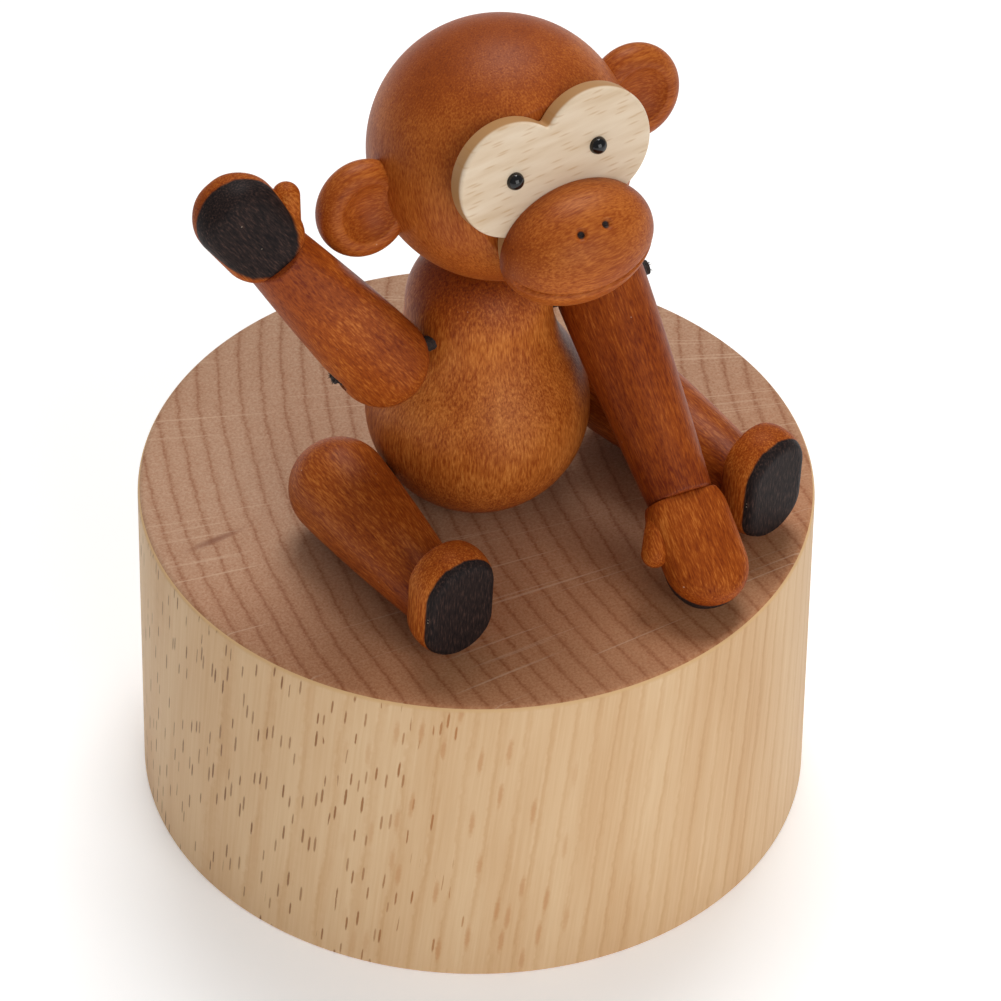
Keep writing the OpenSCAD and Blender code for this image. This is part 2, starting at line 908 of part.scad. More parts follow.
// frame of the head: origin at its middle, turned, nodded and tilted, face towards -Y
module on_head() {
    on_top()
        translate(neck_c)
            rotate([0, 0, -head_turn])
                rotate([-head_lift, 0, 0])
                    rotate([0, -head_roll, 0])
                        children();
}

module head() {
    color(wood)
        difference() {
            on_head()
                difference() {
                    rotate([90, 45, 0])
                        rotate_extrude()
                            intersection() {
                                circle(head_r);
                                translate([0, -2 * head_r])
                                    square([2 * head_r, 2 * head_r + face_y]);
                            }
                    ear_bores();
                    for (side = [-1, 1])
                        translate([side * (ear_flat + head_r), 0, 0])
                            cube(2 * head_r, center = true);
                }
            on_top()
                on_neck()
                    cylinder(r = neck_r + run_fit, h = 2 * neck_in + 0.6, $fn = 32);
        }
}

module ear_bores() {
    for (side = [-1, 1])
        translate([side * (head_r - ear_dowel_in), ear_dowel_y, ear_z])
            rotate([0, 90 * side, 0])
                cylinder(r = ear_dowel_r + seat_fit, h = ear_dowel_len + 2 * end_play, $fn = 24);
}

// face plate: two round lobes for the eyes above one for the muzzle
module plate_outline() {
    for (side = [-1, 1])
        translate([side * eye_gap / 2, lobe_z])
            circle(lobe_r);
    translate([-eye_gap / 2, lobe_z - lobe_r])
        square([eye_gap, lobe_r]);
    translate([0, muzzle_z])
        circle(cheek_r);
}

module face_plate() {
    color(pale)
        on_head()
            difference() {
                translate([0, -face_y, 0])
                    rotate([90, 0, 0])
                        linear_extrude(plate_t)
                            plate_outline();
                for (side = [-1, 1])
                    translate([side * eye_gap / 2, -face_y, lobe_z])
                        rotate([90, 0, 0])
                            cylinder(r = eye_pin + seat_fit, h = 2 * plate_t, $fn = 24);
            }
}

module eyes() {
    color(dark)
        on_head()
            for (side = [-1, 1])
                translate([side * eye_gap / 2, -face_y - plate_t, lobe_z]) {
                    intersection() {
                        sphere(eye_r, $fn = 48);
                        translate([-eye_r, -2 * eye_r, -eye_r])
                            cube(2 * eye_r);
                    }
                    rotate([-90, 0, 0])
                        cylinder(r = eye_pin, h = plate_t - 0.3, $fn = 24);
                }
}

// turned oval whose long axis lies across the face, planed flat where it meets the plate
module muzzle() {
    color(wood)
        on_head()
            difference() {
                translate([0, -face_y - plate_t - muzzle_out, muzzle_z])
                    rotate([0, 90, 0])
                        rotate_extrude()
                            polygon([for (a = [-90:5:90]) [muzzle_r * cos(a), muzzle_w * sin(a)]]);
                translate([-2 * muzzle_w, -face_y - plate_t, muzzle_z - 2 * muzzle_r])
                    cube(4 * muzzle_w);
                for (side = [-1, 1])
                    translate([side * nostril_gap, -face_y - plate_t - muzzle_out, muzzle_z])
                        rotate([-35, 0, 0])
                            translate([0, -muzzle_r, 0])
                                sphere(nostril_r, $fn = 32);
                translate([0, -face_y - plate_t - muzzle_out, muzzle_z])
                    rotate([mouth_drop, 0, 0])
                        translate([-2 * muzzle_w, -2 * muzzle_r, -mouth_gap / 2])
                            cube([4 * muzzle_w, 2 * muzzle_r - mouth_in, mouth_gap]);
            }
}

// half outline of the ear disc: flat back, round rim, dished front
function ear_outline() = let (flat = ear_r - ear_t / 2) concat(
    [[0, 0]],
    [for (a = [-90:15:90]) [flat + ear_t / 2 * cos(a), ear_t / 2 * (1 + sin(a))]],
    [for (k = [9:-1:0]) let (q = dish_r * k / 10) [q, ear_t - dish_depth * (1 - pow(k / 10, 2))]]);

module ear() {
    translate([0, ear_t / 2, 0])
        rotate([90, 0, 0])
            rotate_extrude()
                polygon(ear_outline());
}

module ear_shape() {
    difference() {
        translate([ear_at, ear_y, ear_z])
            ear();
        translate([-ear_flat, -head_r, -head_r])
            cube([2 * ear_flat, 2 * head_r, 2 * head_r]);
        ear_bores();
    }
}

module left_ear() {
    color(wood)
        on_head()
            ear_shape();
}

module right_ear() {
    color(wood)
        on_head()
            mirror([1, 0, 0])
                ear_shape();
}

module ear_dowels() {
    color(pale)
        on_head()
            for (side = [-1, 1])
                translate([side * (head_r - ear_dowel_in + end_play), ear_dowel_y, ear_z])
                    rotate([0, 90 * side, 0])
                        cylinder(r = ear_dowel_r, h = ear_dowel_len, $fn = 24);
}

// frame of a limb: origin on its cord, limb hanging along -Z at zero raise
module on_limb(x, y, z, raise, splay) {
    on_top()
        translate([x, y, z])
            rotate([-raise, 0, 0])
                rotate([0, -splay, 0])
                    children();
}

// turned limb with a tenon at its thin end
module limb(ra, rb, len) {
    rotate([180, 0, 0]) {
        rotate_extrude()
            polygon(limb_outline(ra, rb, len));
        cylinder(r = tenon_r, h = len + tenon_len, $fn = 32);
    }
}

// mitten hand below the wrist, with its thumb towards the body
module hand(side) {
    rotate(-90 * side)
        mitten();
}

module mitten() {
    difference() {
        intersection() {
            union() {
                translate([0, 0, -arm_len - hand_top - hand_len])
                    capsule(hand_r, hand_len);
                translate([0, -hand_r - thumb_out, -arm_len - hand_top - thumb_down])
                    rotate([-thumb_lean, 0, 0])
                        capsule(thumb_r, thumb_len);
            }
            translate([-hand_half, -4 * hand_r, -arm_len - 4 * hand_r])
                cube([2 * hand_half, 8 * hand_r, 4 * hand_r]);
        }
        tenon_hole(arm_len);
    }
}

module tenon_hole(len) {
    translate([0, 0, -len - tenon_len - tenon_play])
        cylinder(r = tenon_r + seat_fit, h = tenon_len + 2 * tenon_play, $fn = 32);
}

// foot across the ankle, toes forwards, flat sole
module foot() {
    difference() {
        intersection() {
            translate([0, heel, -leg_len - foot_mid])
                rotate([90, 0, 0])
                    capsule(foot_r, foot_len);
            translate([-2 * foot_r, -4 * foot_r, -leg_len - foot_t])
                cube([4 * foot_r, 8 * foot_r, foot_t]);
        }
        tenon_hole(leg_len);
    }
}

// bore for the shoulder cord with a sunk seat for each knot
module shoulder_bore() {
    rod_x(cord_r + run_fit, -2 * arm_x, 2 * arm_x);
    for (side = [-1, 1])
        translate([side * (arm_x + arm_r - knot_in), 0, 0])
            rotate([0, 90 * side, 0])
                cylinder(r = knot_r + gap, h = 2 * arm_r, $fn = 48);
}

module arm(x, raise, splay) {
    color(wood)
        difference() {
            on_limb(x, shoulder_y, shoulder_z, raise, splay)
                limb(arm_r, wrist_r, arm_len);
            on_top()
                translate([0, shoulder_y, shoulder_z])
                    shoulder_bore();
        }
}

module leg(x, splay) {
    color(wood)
        difference() {
            on_limb(x, hip_y, hip_z, leg_raise, splay)
                limb(leg_r, ankle_r, leg_len);
            on_top()
                translate([0, hip_y, hip_z])
                    rod_x(cord_r + run_fit, -hip_reach - end_play, hip_reach + end_play);
        }
}

module left_arm() {
    arm(arm_x, left_arm_raise, left_arm_splay);
}

module left_hand() {
    color(wood)
        on_limb(arm_x, shoulder_y, shoulder_z, left_arm_raise, left_arm_splay)
            hand(1);
}

module right_arm() {
    arm(-arm_x, right_arm_raise, -right_arm_splay);
}

module right_hand() {
    color(wood)
        on_limb(-arm_x, shoulder_y, shoulder_z, right_arm_raise, -right_arm_splay)
            hand(-1);
}

module left_leg() {
    leg(leg_x, left_leg_splay);
}

module left_foot() {
    color(wood)
        on_limb(leg_x, hip_y, hip_z, leg_raise, left_leg_splay)
            foot();
}

module right_leg() {
    leg(-leg_x, -right_leg_splay);
}

module right_foot() {
    color(wood)
        on_limb(-leg_x, hip_y, hip_z, leg_raise, -right_leg_splay)
            foot();
}

base_block();
bottom_panel();
panel_screws();
movement_screws();
seat_screw();
torso();
neck_dowel();
shoulder_cord();
hip_cord();
bedplate();
comb();
comb_screws();
governor_frame();
governor_screw();
clutch_spring();
winding_key();
winding_arbor();
spring_barrel();
barrel_cover();
mainspring();
tune_cylinder();
tune_pins();
cylinder_axle();
cylinder_pinion();
cylinder_gear();
governor_wheel();
governor_axle();
governor_worm();
governor_fan();
head();
face_plate();
eyes();
muzzle();
left_ear();
right_ear();
ear_dowels();
left_arm();
left_hand();
right_arm();
right_hand();
left_leg();
left_foot();
right_leg();
right_foot();
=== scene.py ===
import bpy
import json
import numpy as np
import bmesh
from mathutils import Matrix, Vector


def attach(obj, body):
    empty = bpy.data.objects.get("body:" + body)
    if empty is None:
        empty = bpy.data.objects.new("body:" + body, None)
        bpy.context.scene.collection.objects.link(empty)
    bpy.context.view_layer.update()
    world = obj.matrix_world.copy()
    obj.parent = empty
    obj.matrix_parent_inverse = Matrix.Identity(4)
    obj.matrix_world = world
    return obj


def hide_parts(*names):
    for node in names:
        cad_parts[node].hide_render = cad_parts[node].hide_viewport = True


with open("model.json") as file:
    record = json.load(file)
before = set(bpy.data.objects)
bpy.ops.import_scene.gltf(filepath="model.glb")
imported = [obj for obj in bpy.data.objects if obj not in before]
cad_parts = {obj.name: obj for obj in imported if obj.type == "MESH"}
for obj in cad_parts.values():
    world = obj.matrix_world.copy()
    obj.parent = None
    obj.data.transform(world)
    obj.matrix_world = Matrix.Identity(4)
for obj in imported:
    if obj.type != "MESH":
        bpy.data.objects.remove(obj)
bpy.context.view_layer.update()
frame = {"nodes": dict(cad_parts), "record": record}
nodes = frame["nodes"]
scene = bpy.context.scene
rng = np.random.default_rng(18)
mm = 0.001
print("frame loaded,", len(nodes), "nodes")


# turn about x, y or z by an angle in degrees, as a 3 x 3 matrix
def turn(axis, deg):
    c, s = np.cos(np.radians(deg)), np.sin(np.radians(deg))
    i, j = {"x": (1, 2), "y": (2, 0), "z": (0, 1)}[axis]
    m = np.eye(3)
    m[i, i], m[i, j], m[j, i], m[j, j] = c, -s, s, c
    return m


# points turned by spin and then moved to at
def carry(points, spin, at):
    return np.asarray(points) @ spin.T + at


# smooth step from 0 at low to 1 at high
def ease(x, low, high):
    t = np.clip((x - low) / (high - low), 0, 1)
    return t * t * (3 - 2 * t)


# points on a circle arc: centre plus radius times (cos, sin), from angle a to angle b in degrees
def arc(cx, cy, r, a, b, n):
    t = np.radians(np.linspace(a, b, n))
    return np.stack([cx + r * np.cos(t), cy + r * np.sin(t)], -1)


# level line of a section at one height, from radius a to radius b; keep picks which of its n points stay
def level(a, b, n, height, keep=slice(None)):
    r = np.linspace(a, b, n)[keep]
    return np.stack([r, np.full(len(r), height)], -1)


# angles of a full round in count equal steps
def fullRound(count):
    return np.linspace(0, 2 * np.pi, count, endpoint=False)


# profile (radius, height) carried round the z axis: ring k holds (r cos t, r sin t, z)
def lathe(profile, count):
    t = fullRound(count)
    r, z = profile[:, :1], profile[:, 1:]
    return np.stack([r * np.cos(t), r * np.sin(t), z + 0 * t], -1)


# rings of points in millimetres become quads between neighbours; a pole closes an end with a fan,
# and loop joins the last ring to the first; faces are flipped if the enclosed volume comes out negative
def ringMesh(name, rings, poles=(None, None), loop=False, uv=None):
    n, m = rings.shape[:2]
    index = np.arange(n * m).reshape(n, m)
    rows = np.concatenate([index, index[:1]]) if loop else index
    a, b = rows[:-1], rows[1:]
    quads = np.stack([a, np.roll(a, -1, 1), np.roll(b, -1, 1), b], -1).reshape(-1, 4)
    verts = rings.reshape(-1, 3)
    fans = []
    for end, pole in zip((0, -1), poles):
        if pole is not None:
            edge = index[end]
            near, far = (np.roll(edge, -1), edge) if end == 0 else (edge, np.roll(edge, -1))
            fans.append(np.stack([np.full(m, len(verts)), near, far], -1))
            verts = np.vstack([verts, pole])
    tris = np.concatenate([quads[:, [0, 1, 2]], quads[:, [0, 2, 3]]] + fans)
    corner = verts[tris]
    volume = np.einsum("ij,ij->i", corner[:, 0], np.cross(corner[:, 1], corner[:, 2])).sum()
    step = -1 if volume < 0 else 1
    faces = quads[:, ::step].tolist() + [f for fan in fans for f in fan[:, ::step].tolist()]
    mesh = bpy.data.meshes.new(name)
    mesh.from_pydata((verts * mm).tolist(), [], faces)
    mesh.polygons.foreach_set("use_smooth", np.ones(len(faces), bool))
    if uv is not None:
        w = np.stack([uv[:-1, :-1], uv[:-1, 1:], uv[1:, 1:], uv[1:, :-1]], 2).reshape(-1, 4, 2)
        flat = np.zeros((len(mesh.loops), 2))
        flat[:w.size // 2] = w[:, ::step].reshape(-1, 2)
        mesh.uv_layers.new(name="mm").data.foreach_set("uv", flat.ravel())
    piece = bpy.data.objects.new(name, mesh)
    scene.collection.objects.link(piece)
    return piece


# turned piece: the section is carried round its axis and closed on the axis at two heights,
# then moved by one (spin, at) after another
def turnedMesh(name, profile, count, ends, *moves):
    rings, poles = lathe(profile, count), np.array([[0, 0, z] for z in ends])
    for spin, at in moves:
        rings, poles = carry(rings, spin, at), carry(poles, spin, at)
    return ringMesh(name, rings, poles)


# several shells in one object
def joinShells(first, *others):
    bm = bmesh.new()
    for o in (first,) + others:
        bm.from_mesh(o.data)
    bm.to_mesh(first.data)
    bm.free()
    for o in others:
        bpy.data.objects.remove(o)
    return first


# number per vertex that a material reads by name; the two poles follow the rings and take their neighbours' number
def paintVertices(piece, name, values):
    layer = piece.data.attributes.new(name, "FLOAT", "POINT")
    full = np.zeros(len(piece.data.vertices))
    full[:values.size] = values.ravel()
    full[values.size:values.size + 2] = values[0].mean(), values[-1].mean()
    layer.data.foreach_set("value", full)


# gives a piece its materials and its body, and hides the CAD nodes it stands for
def settle(piece, body, slot, replaced, *mats):
    for mat in mats:
        piece.data.materials.append(mat)
    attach(piece, body)
    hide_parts(*replaced)


# sRGB hex to linear colour
def hexColor(text):
    c = np.array([int(text[i:i + 2], 16) for i in (1, 3, 5)]) / 255
    lin = np.where(c <= 0.04045, c / 12.92, ((c + 0.055) / 1.055) ** 2.4)
    return tuple(lin) + (1.0,)


# sets a socket, or links it where the value is another socket
def plug(tree, socket, value):
    if isinstance(value, bpy.types.NodeSocket):
        tree.links.new(value, socket)
    else:
        socket.default_value = value


# adds a node, sets its properties, and sets or links its inputs by name or number
def addNode(tree, kind, inputs=None, **props):
    n = tree.nodes.new("ShaderNode" + kind)
    for key, value in props.items():
        setattr(n, key, value)
    for key, value in (inputs or {}).items():
        plug(tree, n.inputs[key], value)
    return n


# arithmetic on numbers and sockets
def calc(tree, operation, *terms):
    return addNode(tree, "Math", dict(enumerate(terms)), operation=operation).outputs[0]


# value times weight, added to the rest
def addShare(tree, value, weight, rest):
    return calc(tree, "MULTIPLY_ADD", value, weight, rest)


# value from the span (from, to) carried over to the range (from, to), with soft ends or straight
def remap(tree, value, span, to=(0, 1), soft=True):
    return addNode(tree, "MapRange", {"Value": value, "From Min": span[0], "From Max": span[1],
                                      "To Min": to[0], "To Max": to[1]},
                   interpolation_type="SMOOTHSTEP" if soft else "LINEAR").outputs[0]


# colour b over colour a by a share
def blend(tree, share, a, b, how="MIX"):
    return addNode(tree, "Mix", {0: share, 6: a, 7: b}, data_type="RGBA", blend_type=how).outputs[2]


def stretch(tree, vector, scale):
    return addNode(tree, "Mapping", {"Vector": vector, "Scale": scale}).outputs[0]


# cloudy noise whose lumps have about the given size
def noise(tree, vector, size, detail, **more):
    return addNode(tree, "TexNoise", dict({"Vector": vector, "Scale": 1 / size, "Detail": detail}, **more)).outputs[0]


# cells of about the given size: the distance from the cell's middle, and three numbers by chance for each cell
def cells(tree, vector, size, more=None, **props):
    inputs = dict({"Vector": vector, "Scale": 1 / size, "Randomness": 1}, **(more or {}))
    n = addNode(tree, "TexVoronoi", inputs, **props)
    return n.outputs["Distance"], addNode(tree, "SeparateColor", {0: n.outputs["Color"]}).outputs


# colours at stops along a value
def ramp(tree, value, stops):
    n = addNode(tree, "ValToRGB", {0: value})
    while len(n.color_ramp.elements) < len(stops):
        n.color_ramp.elements.new(0.5)
    for e, (at, color) in zip(n.color_ramp.elements, stops):
        e.position, e.color = at, hexColor(color)
    return n.outputs[0]


def objectPlace(tree):
    return addNode(tree, "TexCoord").outputs["Object"]


# place in millimetres in a piece's own axes: its long axis on z and its middle at zero
def ownPlace(tree, spin=np.eye(3), centre=(0, 0, 0)):
    axes = np.asarray(spin).T
    return addNode(tree, "Mapping", {"Vector": objectPlace(tree), "Scale": (1 / mm,) * 3,
                                     "Rotation": Matrix(axes.tolist()).to_euler(),
                                     "Location": tuple(-axes @ np.asarray(centre))}).outputs[0]


def newMaterial(name):
    mat = bpy.data.materials.new(name)
    mat.use_nodes = True
    return mat, mat.node_tree, mat.node_tree.nodes["Principled BSDF"]


# colour, roughness, gloss and relief of a surface; relief gives the strength and height in millimetres of the bump
def dress(tree, shader, color, rough, gloss=0.5, height=None, relief=None):
    plug(tree, shader.inputs["Base Color"], color)
    plug(tree, shader.inputs["Roughness"], rough)
    shader.inputs["Specular IOR Level"].default_value = gloss
    if relief:
        bump = addNode(tree, "Bump", {"Height": height, "Strength": relief[0], "Distance": relief[1] * mm})
        plug(tree, shader.inputs["Normal"], bump.outputs[0])


# Beech stained red-brown, lathe turned and wiped with a satin finish: short bright and dark fibres lie along
# the piece, the stain gathers in soft patches and soaks in further and redder at end grain. The soak begins and ends
# at shares of half the piece's length; the extra stain darkens the whole piece, partly as more stain taken up and
# partly as painted shade on pieces that lie in shadow.
def stainedWood(name, spin, centre, half, look, extraStainAndShade=0.0):
    mat, tree, shader = newMaterial(name)
    own = ownPlace(tree, spin, centre)
    along = stretch(tree, own, (1, 1, look["stretch"]))
    fibre = noise(tree, along, look["fibre"], 3, Roughness=0.6)
    streak = noise(tree, along, look["streak"], 3, Distortion=0.5)
    patch = noise(tree, own, look["patch"], 3, Roughness=0.55)
    pore = remap(tree, cells(tree, along, look["pore"])[0], look["poreSpan"], (look["poreMix"], 0))
    reach = calc(tree, "ABSOLUTE", addNode(tree, "SeparateXYZ", {0: own}).outputs[2])
    soak = remap(tree, reach, [half * share for share in look["soakSpan"]], (0, look["soak"]))
    # the extra stain darkens the whole piece: partly more stain taken up, partly painted shade for pieces in shadow
    pale = look["depth"] + extraStainAndShade - 0.5 * (look["fibreMix"] + look["streakMix"] + look["patchMix"])
    depth = remap(tree, fibre, look["fibreSpan"], (pale, pale + look["fibreMix"]), soft=False)
    depth = addShare(tree, streak, look["streakMix"], depth)
    depth = addShare(tree, patch, look["patchMix"], depth)
    depth = calc(tree, "ADD", soak, depth)
    depth = calc(tree, "ADD", pore, depth)
    color = ramp(tree, depth, look["stain"])
    if "dark" in look:
        charred = addNode(tree, "Attribute", attribute_name="charred").outputs["Fac"]
        mask = remap(tree, addShare(tree, streak, look["darkFray"], charred), look["darkSpan"])
        color = blend(tree, mask, color, ramp(tree, fibre, look["dark"]))
    away, chance = cells(tree, own, look["dust"])
    speck = remap(tree, chance[0], look["dustFew"], (0, look["dustSize"]), soft=False)
    dust = calc(tree, "MULTIPLY", calc(tree, "LESS_THAN", away, speck), look["dustMix"])
    color = blend(tree, dust, color, hexColor(look["dustColor"]))
    rough = remap(tree, fibre, (0, 1), [look["rough"] + d for d in look["roughSpan"]], soft=False)
    dress(tree, shader, color, rough, look["gloss"], addShare(tree, pore, -look["poreDeep"], fibre), look["relief"])
    return mat


# sizes in millimetres of the wood's pattern, and how strongly each part deepens the stain
stain = dict(stretch=0.16, fibre=0.2, streak=1.3, patch=9.0, pore=0.6, poreSpan=(0.05, 0.3), poreDeep=3.0,
             fibreSpan=(0.28, 0.72), soakSpan=(0.5, 1.03), depth=0.57, fibreMix=0.36, streakMix=0.24,
             patchMix=0.34, poreMix=0.1, soak=0.12, dust=2.1, dustFew=(0.5, 1.0), dustSize=0.055, dustMix=0.3,
             dustColor="#e6d2b8", rough=0.44, roughSpan=(-0.08, 0.1), gloss=0.16, relief=(0.3, 0.08),
             stain=[(0.36, "#d6863e"), (0.52, "#bd6a29"), (0.68, "#9b4914"), (0.95, "#6c2507")])
# turned balls show less fibre
stainFine = dict(stain, depth=0.55, fibreMix=0.24, streakMix=0.14, patchMix=0.28)
# palms, soles and the lines of the mouth are stained nearly black, with an edge that runs along the fibres
black = dict(darkFray=0.5, darkSpan=(0.6, 0.95), dark=[(0.28, "#4a3630"), (0.45, "#2c2220"), (0.65, "#191516")])
stainDark = dict(stain, gloss=0.07, rough=0.5, **black)

base = dict(r=40.0, h=42.5, rim=0.8, foot=0.4, recess=33.5, cavity=30.5, bed=15.0, roof=36.5, hole=1.32, count=384)
# the head's and muzzle's extra stain is partly painted shade, for the side of the head that is turned from the light
figure = dict(belly=13.2, bellyZ=12.4, chest=8.6, chestZ=27.4, waist=14.0, innerR=0.4, mid=17.0, half=19.0, soak=0.24,
              head=15.3, headAt=(2.0, -1.0, 50.0), gap=0.35, lift=13.0, roll=5.0, flat=11.9, edge=0.5, faceR=0.5,
              headHalf=15.5, extraStainAndShade=0.07, count=192)
b, f = base, figure
top = np.array([0, 0, b["h"]])   # the figure's own zero, on the block
headSpin = turn("x", -f["lift"]) @ turn("y", -f["roll"])
headAt = np.array(f["headAt"]) + top
print("tools ready")


# Turned base: the section runs up the outer wall, over the rim to the screw hole, and back inside
# through cavity, shoulder and key recess; the section is carried round the z axis.
wall = np.linspace(b["foot"], b["h"] - b["rim"], 26)[1:-1]
section = np.vstack([arc(b["r"] - b["foot"], b["foot"], b["foot"], -90, 0, 8),
                     np.stack([np.full(len(wall), b["r"]), wall], -1),
                     arc(b["r"] - b["rim"], b["h"] - b["rim"], b["rim"], 0, 90, 9),
                     level(b["r"] - b["rim"], b["hole"], 40, b["h"], slice(1, None)),
                     [[b["hole"], b["roof"]], [b["cavity"], b["roof"]], [b["cavity"], b["bed"]],
                      [b["recess"], b["bed"]], [b["recess"], 0.0]]])
steps = np.diff(np.vstack([section, section[:1]]), axis=0)
length = np.append(0, np.cumsum(np.linalg.norm(steps, axis=1)))
around = np.linspace(0, 2 * np.pi, b["count"] + 1) * b["r"]
block = ringMesh("beechBlock", lathe(section, b["count"]), loop=True,
                 uv=np.stack(np.meshgrid(around, length, indexing="xy"), -1))
# faces nearer level than upright show the log's end
endGrain = np.repeat(np.abs(steps[:, 0]) > np.abs(steps[:, 1]), b["count"])
print("base turned")


# growth rings of the log: the distance from its far heart, unevenly spaced, as a share of one ring from 0 to 1;
# also that distance and the bearing from the heart, in which the rays lie
grain = dict(heart=(110.0, -28.0), ring=2.55, wander=1.2, spread=26.0, jitter=0.3, jitterSize=1.1, lean=6.0,
             fleckWay=171.0)


def growthRings(tree, place):
    xyz = addNode(tree, "SeparateXYZ", {0: place}).outputs
    dx, dy = (calc(tree, "SUBTRACT", xyz[i], grain["heart"][i]) for i in (0, 1))
    flatAt = addNode(tree, "CombineXYZ", {0: dx, 1: dy}).outputs[0]
    dist = addNode(tree, "VectorMath", {0: flatAt}, operation="LENGTH").outputs["Value"]
    dist = addShare(tree, noise(tree, place, grain["spread"], 3), grain["wander"] * 2, dist)
    dist = addShare(tree, noise(tree, place, grain["jitterSize"], 2), grain["jitter"] * 2, dist)
    share = calc(tree, "FRACT", calc(tree, "MULTIPLY", dist, 1 / grain["ring"]))
    return share, dist, calc(tree, "ARCTAN2", dy, dx)


# sizes in millimetres of flecks, patches, lines and bands, and how strongly each one shows
sideLook = dict(fleck=(1.05, 8.6), fleckLoose=0.9, fleckEnds=3.0, fleckHalf=(0.12, 0.17), fleckRagged=0.08,
                fleckEdge=(-0.045, 0.015), fleckWeight=(0.6, 1.0), ragged=0.5, dense=((-0.1, 0.7), (-0.5, 0.66)),
                chain=(0.75, 0.2), chainMix=(2.0, -0.75), chanceMix=0.5, fleckDeep=0.9,
                patch=(1.45, 8.6), patchRagged=0.2, patchEdge=(0.18, 0.42), patchMix=0.54, patchFew=0.36,
                line=(0.4, 0.4, 14.0), lineSpan=(0.25, 0.75), lineMix=0.2,
                band=(7.0, 7.0, 50.0), bandMix=0.55, lateMix=0.16,
                rim=(0.8, 0.3), rimHighlightColor="#ddb481", patchColor="#bd8450", rough=0.55, gloss=0.25, relief=(0.2, 0.1),
                late=[(0.0, "#000000"), (0.66, "#595959"), (0.9, "#ffffff"), (1.0, "#000000")],
                wood=[(0.25, "#dcbb92"), (0.5, "#d0a97d"), (0.8, "#bd8e5c")],
                ink=[(0.15, "#c98f5a"), (0.5, "#a67041"), (0.9, "#845c38")],
                zone=[(0.0, "#000000"), (0.14, "#ffffff"), (0.5, "#ffffff"), (0.75, "#303030")])


# Beech side grain, turned and fine sanded: pale straw with short dark dashes where rays end on the surface,
# widening to soft patches as the surface turns away from them, then fine upright growth lines;
# and a painted highlight, a bright golden band along the rim's rounded edge.
def beechSide():
    s = sideLook
    mat, tree, shader = newMaterial("beech side grain, sanded")
    at = addNode(tree, "UVMap", uv_map="mm").outputs[0]
    place = ownPlace(tree)
    height = addNode(tree, "SeparateXYZ", {0: place}).outputs[2]
    lean = np.radians(grain["lean"])
    swing = calc(tree, "MULTIPLY", height, -np.tan(lean) / b["r"])
    wound = addNode(tree, "VectorRotate", {"Vector": place, "Angle": swing}, rotation_type="Z_AXIS").outputs[0]
    share = growthRings(tree, wound)[0]
    fleckAt, patchAt = (addNode(tree, "Mapping", {"Vector": at, "Scale": s[key] + (1,), "Rotation": (0, 0, -lean)},
                                vector_type="TEXTURE").outputs[0] for key in ("fleck", "patch"))
    ragged = noise(tree, place, s["ragged"], 2)

    # how squarely the surface faces the way in which the rays end on it, from -1 to 1
    alongRim = addNode(tree, "SeparateXYZ", {0: at}).outputs[0]
    facing = calc(tree, "COSINE", addShare(tree, alongRim, 1 / b["r"], -np.radians(grain["fleckWay"])))

    # dashes: a cell holds one where its score, by chance and by chains along the grain, is low
    away, chance = cells(tree, fleckAt, 1, {"Randomness": s["fleckLoose"], "Exponent": s["fleckEnds"]},
                         voronoi_dimensions="2D", distance="MINKOWSKI")
    chain = noise(tree, stretch(tree, fleckAt, s["chain"] + (1,)), 1, 1)
    score = addShare(tree, chance[0], s["chanceMix"], addShare(tree, chain, *s["chainMix"]))
    keep = calc(tree, "LESS_THAN", score, remap(tree, facing, *s["dense"]))
    half = remap(tree, chance[1], (0, 1), s["fleckHalf"], soft=False)
    inner = calc(tree, "SUBTRACT", half, addShare(tree, ragged, s["fleckRagged"], away))
    dash = calc(tree, "MULTIPLY", remap(tree, inner, s["fleckEdge"]), keep)
    dash = calc(tree, "MULTIPLY", dash, remap(tree, chance[2], (0, 1), s["fleckWeight"], soft=False))

    # wood: fine lines, wide bands and the late wood of each ring
    lines = noise(tree, stretch(tree, wound, [1 / size for size in s["line"]]), 1, 4, Roughness=0.6)
    bands = noise(tree, stretch(tree, wound, [1 / size for size in s["band"]]), 1, 2)
    tone = remap(tree, lines, s["lineSpan"], (0, s["lineMix"]), soft=False)
    tone = addShare(tree, bands, s["bandMix"], tone)
    tone = addShare(tree, ramp(tree, share, s["late"]), s["lateMix"], tone)
    color = blend(tree, dash, ramp(tree, tone, s["wood"]), ramp(tree, facing, s["ink"]))

    # soft patches, in a zone beside the dashes
    away, pick = cells(tree, patchAt, 1, voronoi_dimensions="2D")
    veil = remap(tree, addShare(tree, ragged, s["patchRagged"], away), s["patchEdge"], (s["patchMix"], 0))
    veil = calc(tree, "MULTIPLY", veil, calc(tree, "LESS_THAN", pick[0], s["patchFew"]))
    veil = calc(tree, "MULTIPLY", veil, ramp(tree, facing, s["zone"]))
    color = blend(tree, veil, color, hexColor(s["patchColor"]))
    # painted highlight: over the top of the side, where the rim rounds over, the colour turns bright golden
    edge = remap(tree, height, [b["h"] - d for d in s["rim"]])
    color = blend(tree, edge, color, hexColor(s["rimHighlightColor"]))
    dress(tree, shader, color, s["rough"], s["gloss"], addShare(tree, dash, -s["fleckDeep"], lines), s["relief"])
    return mat


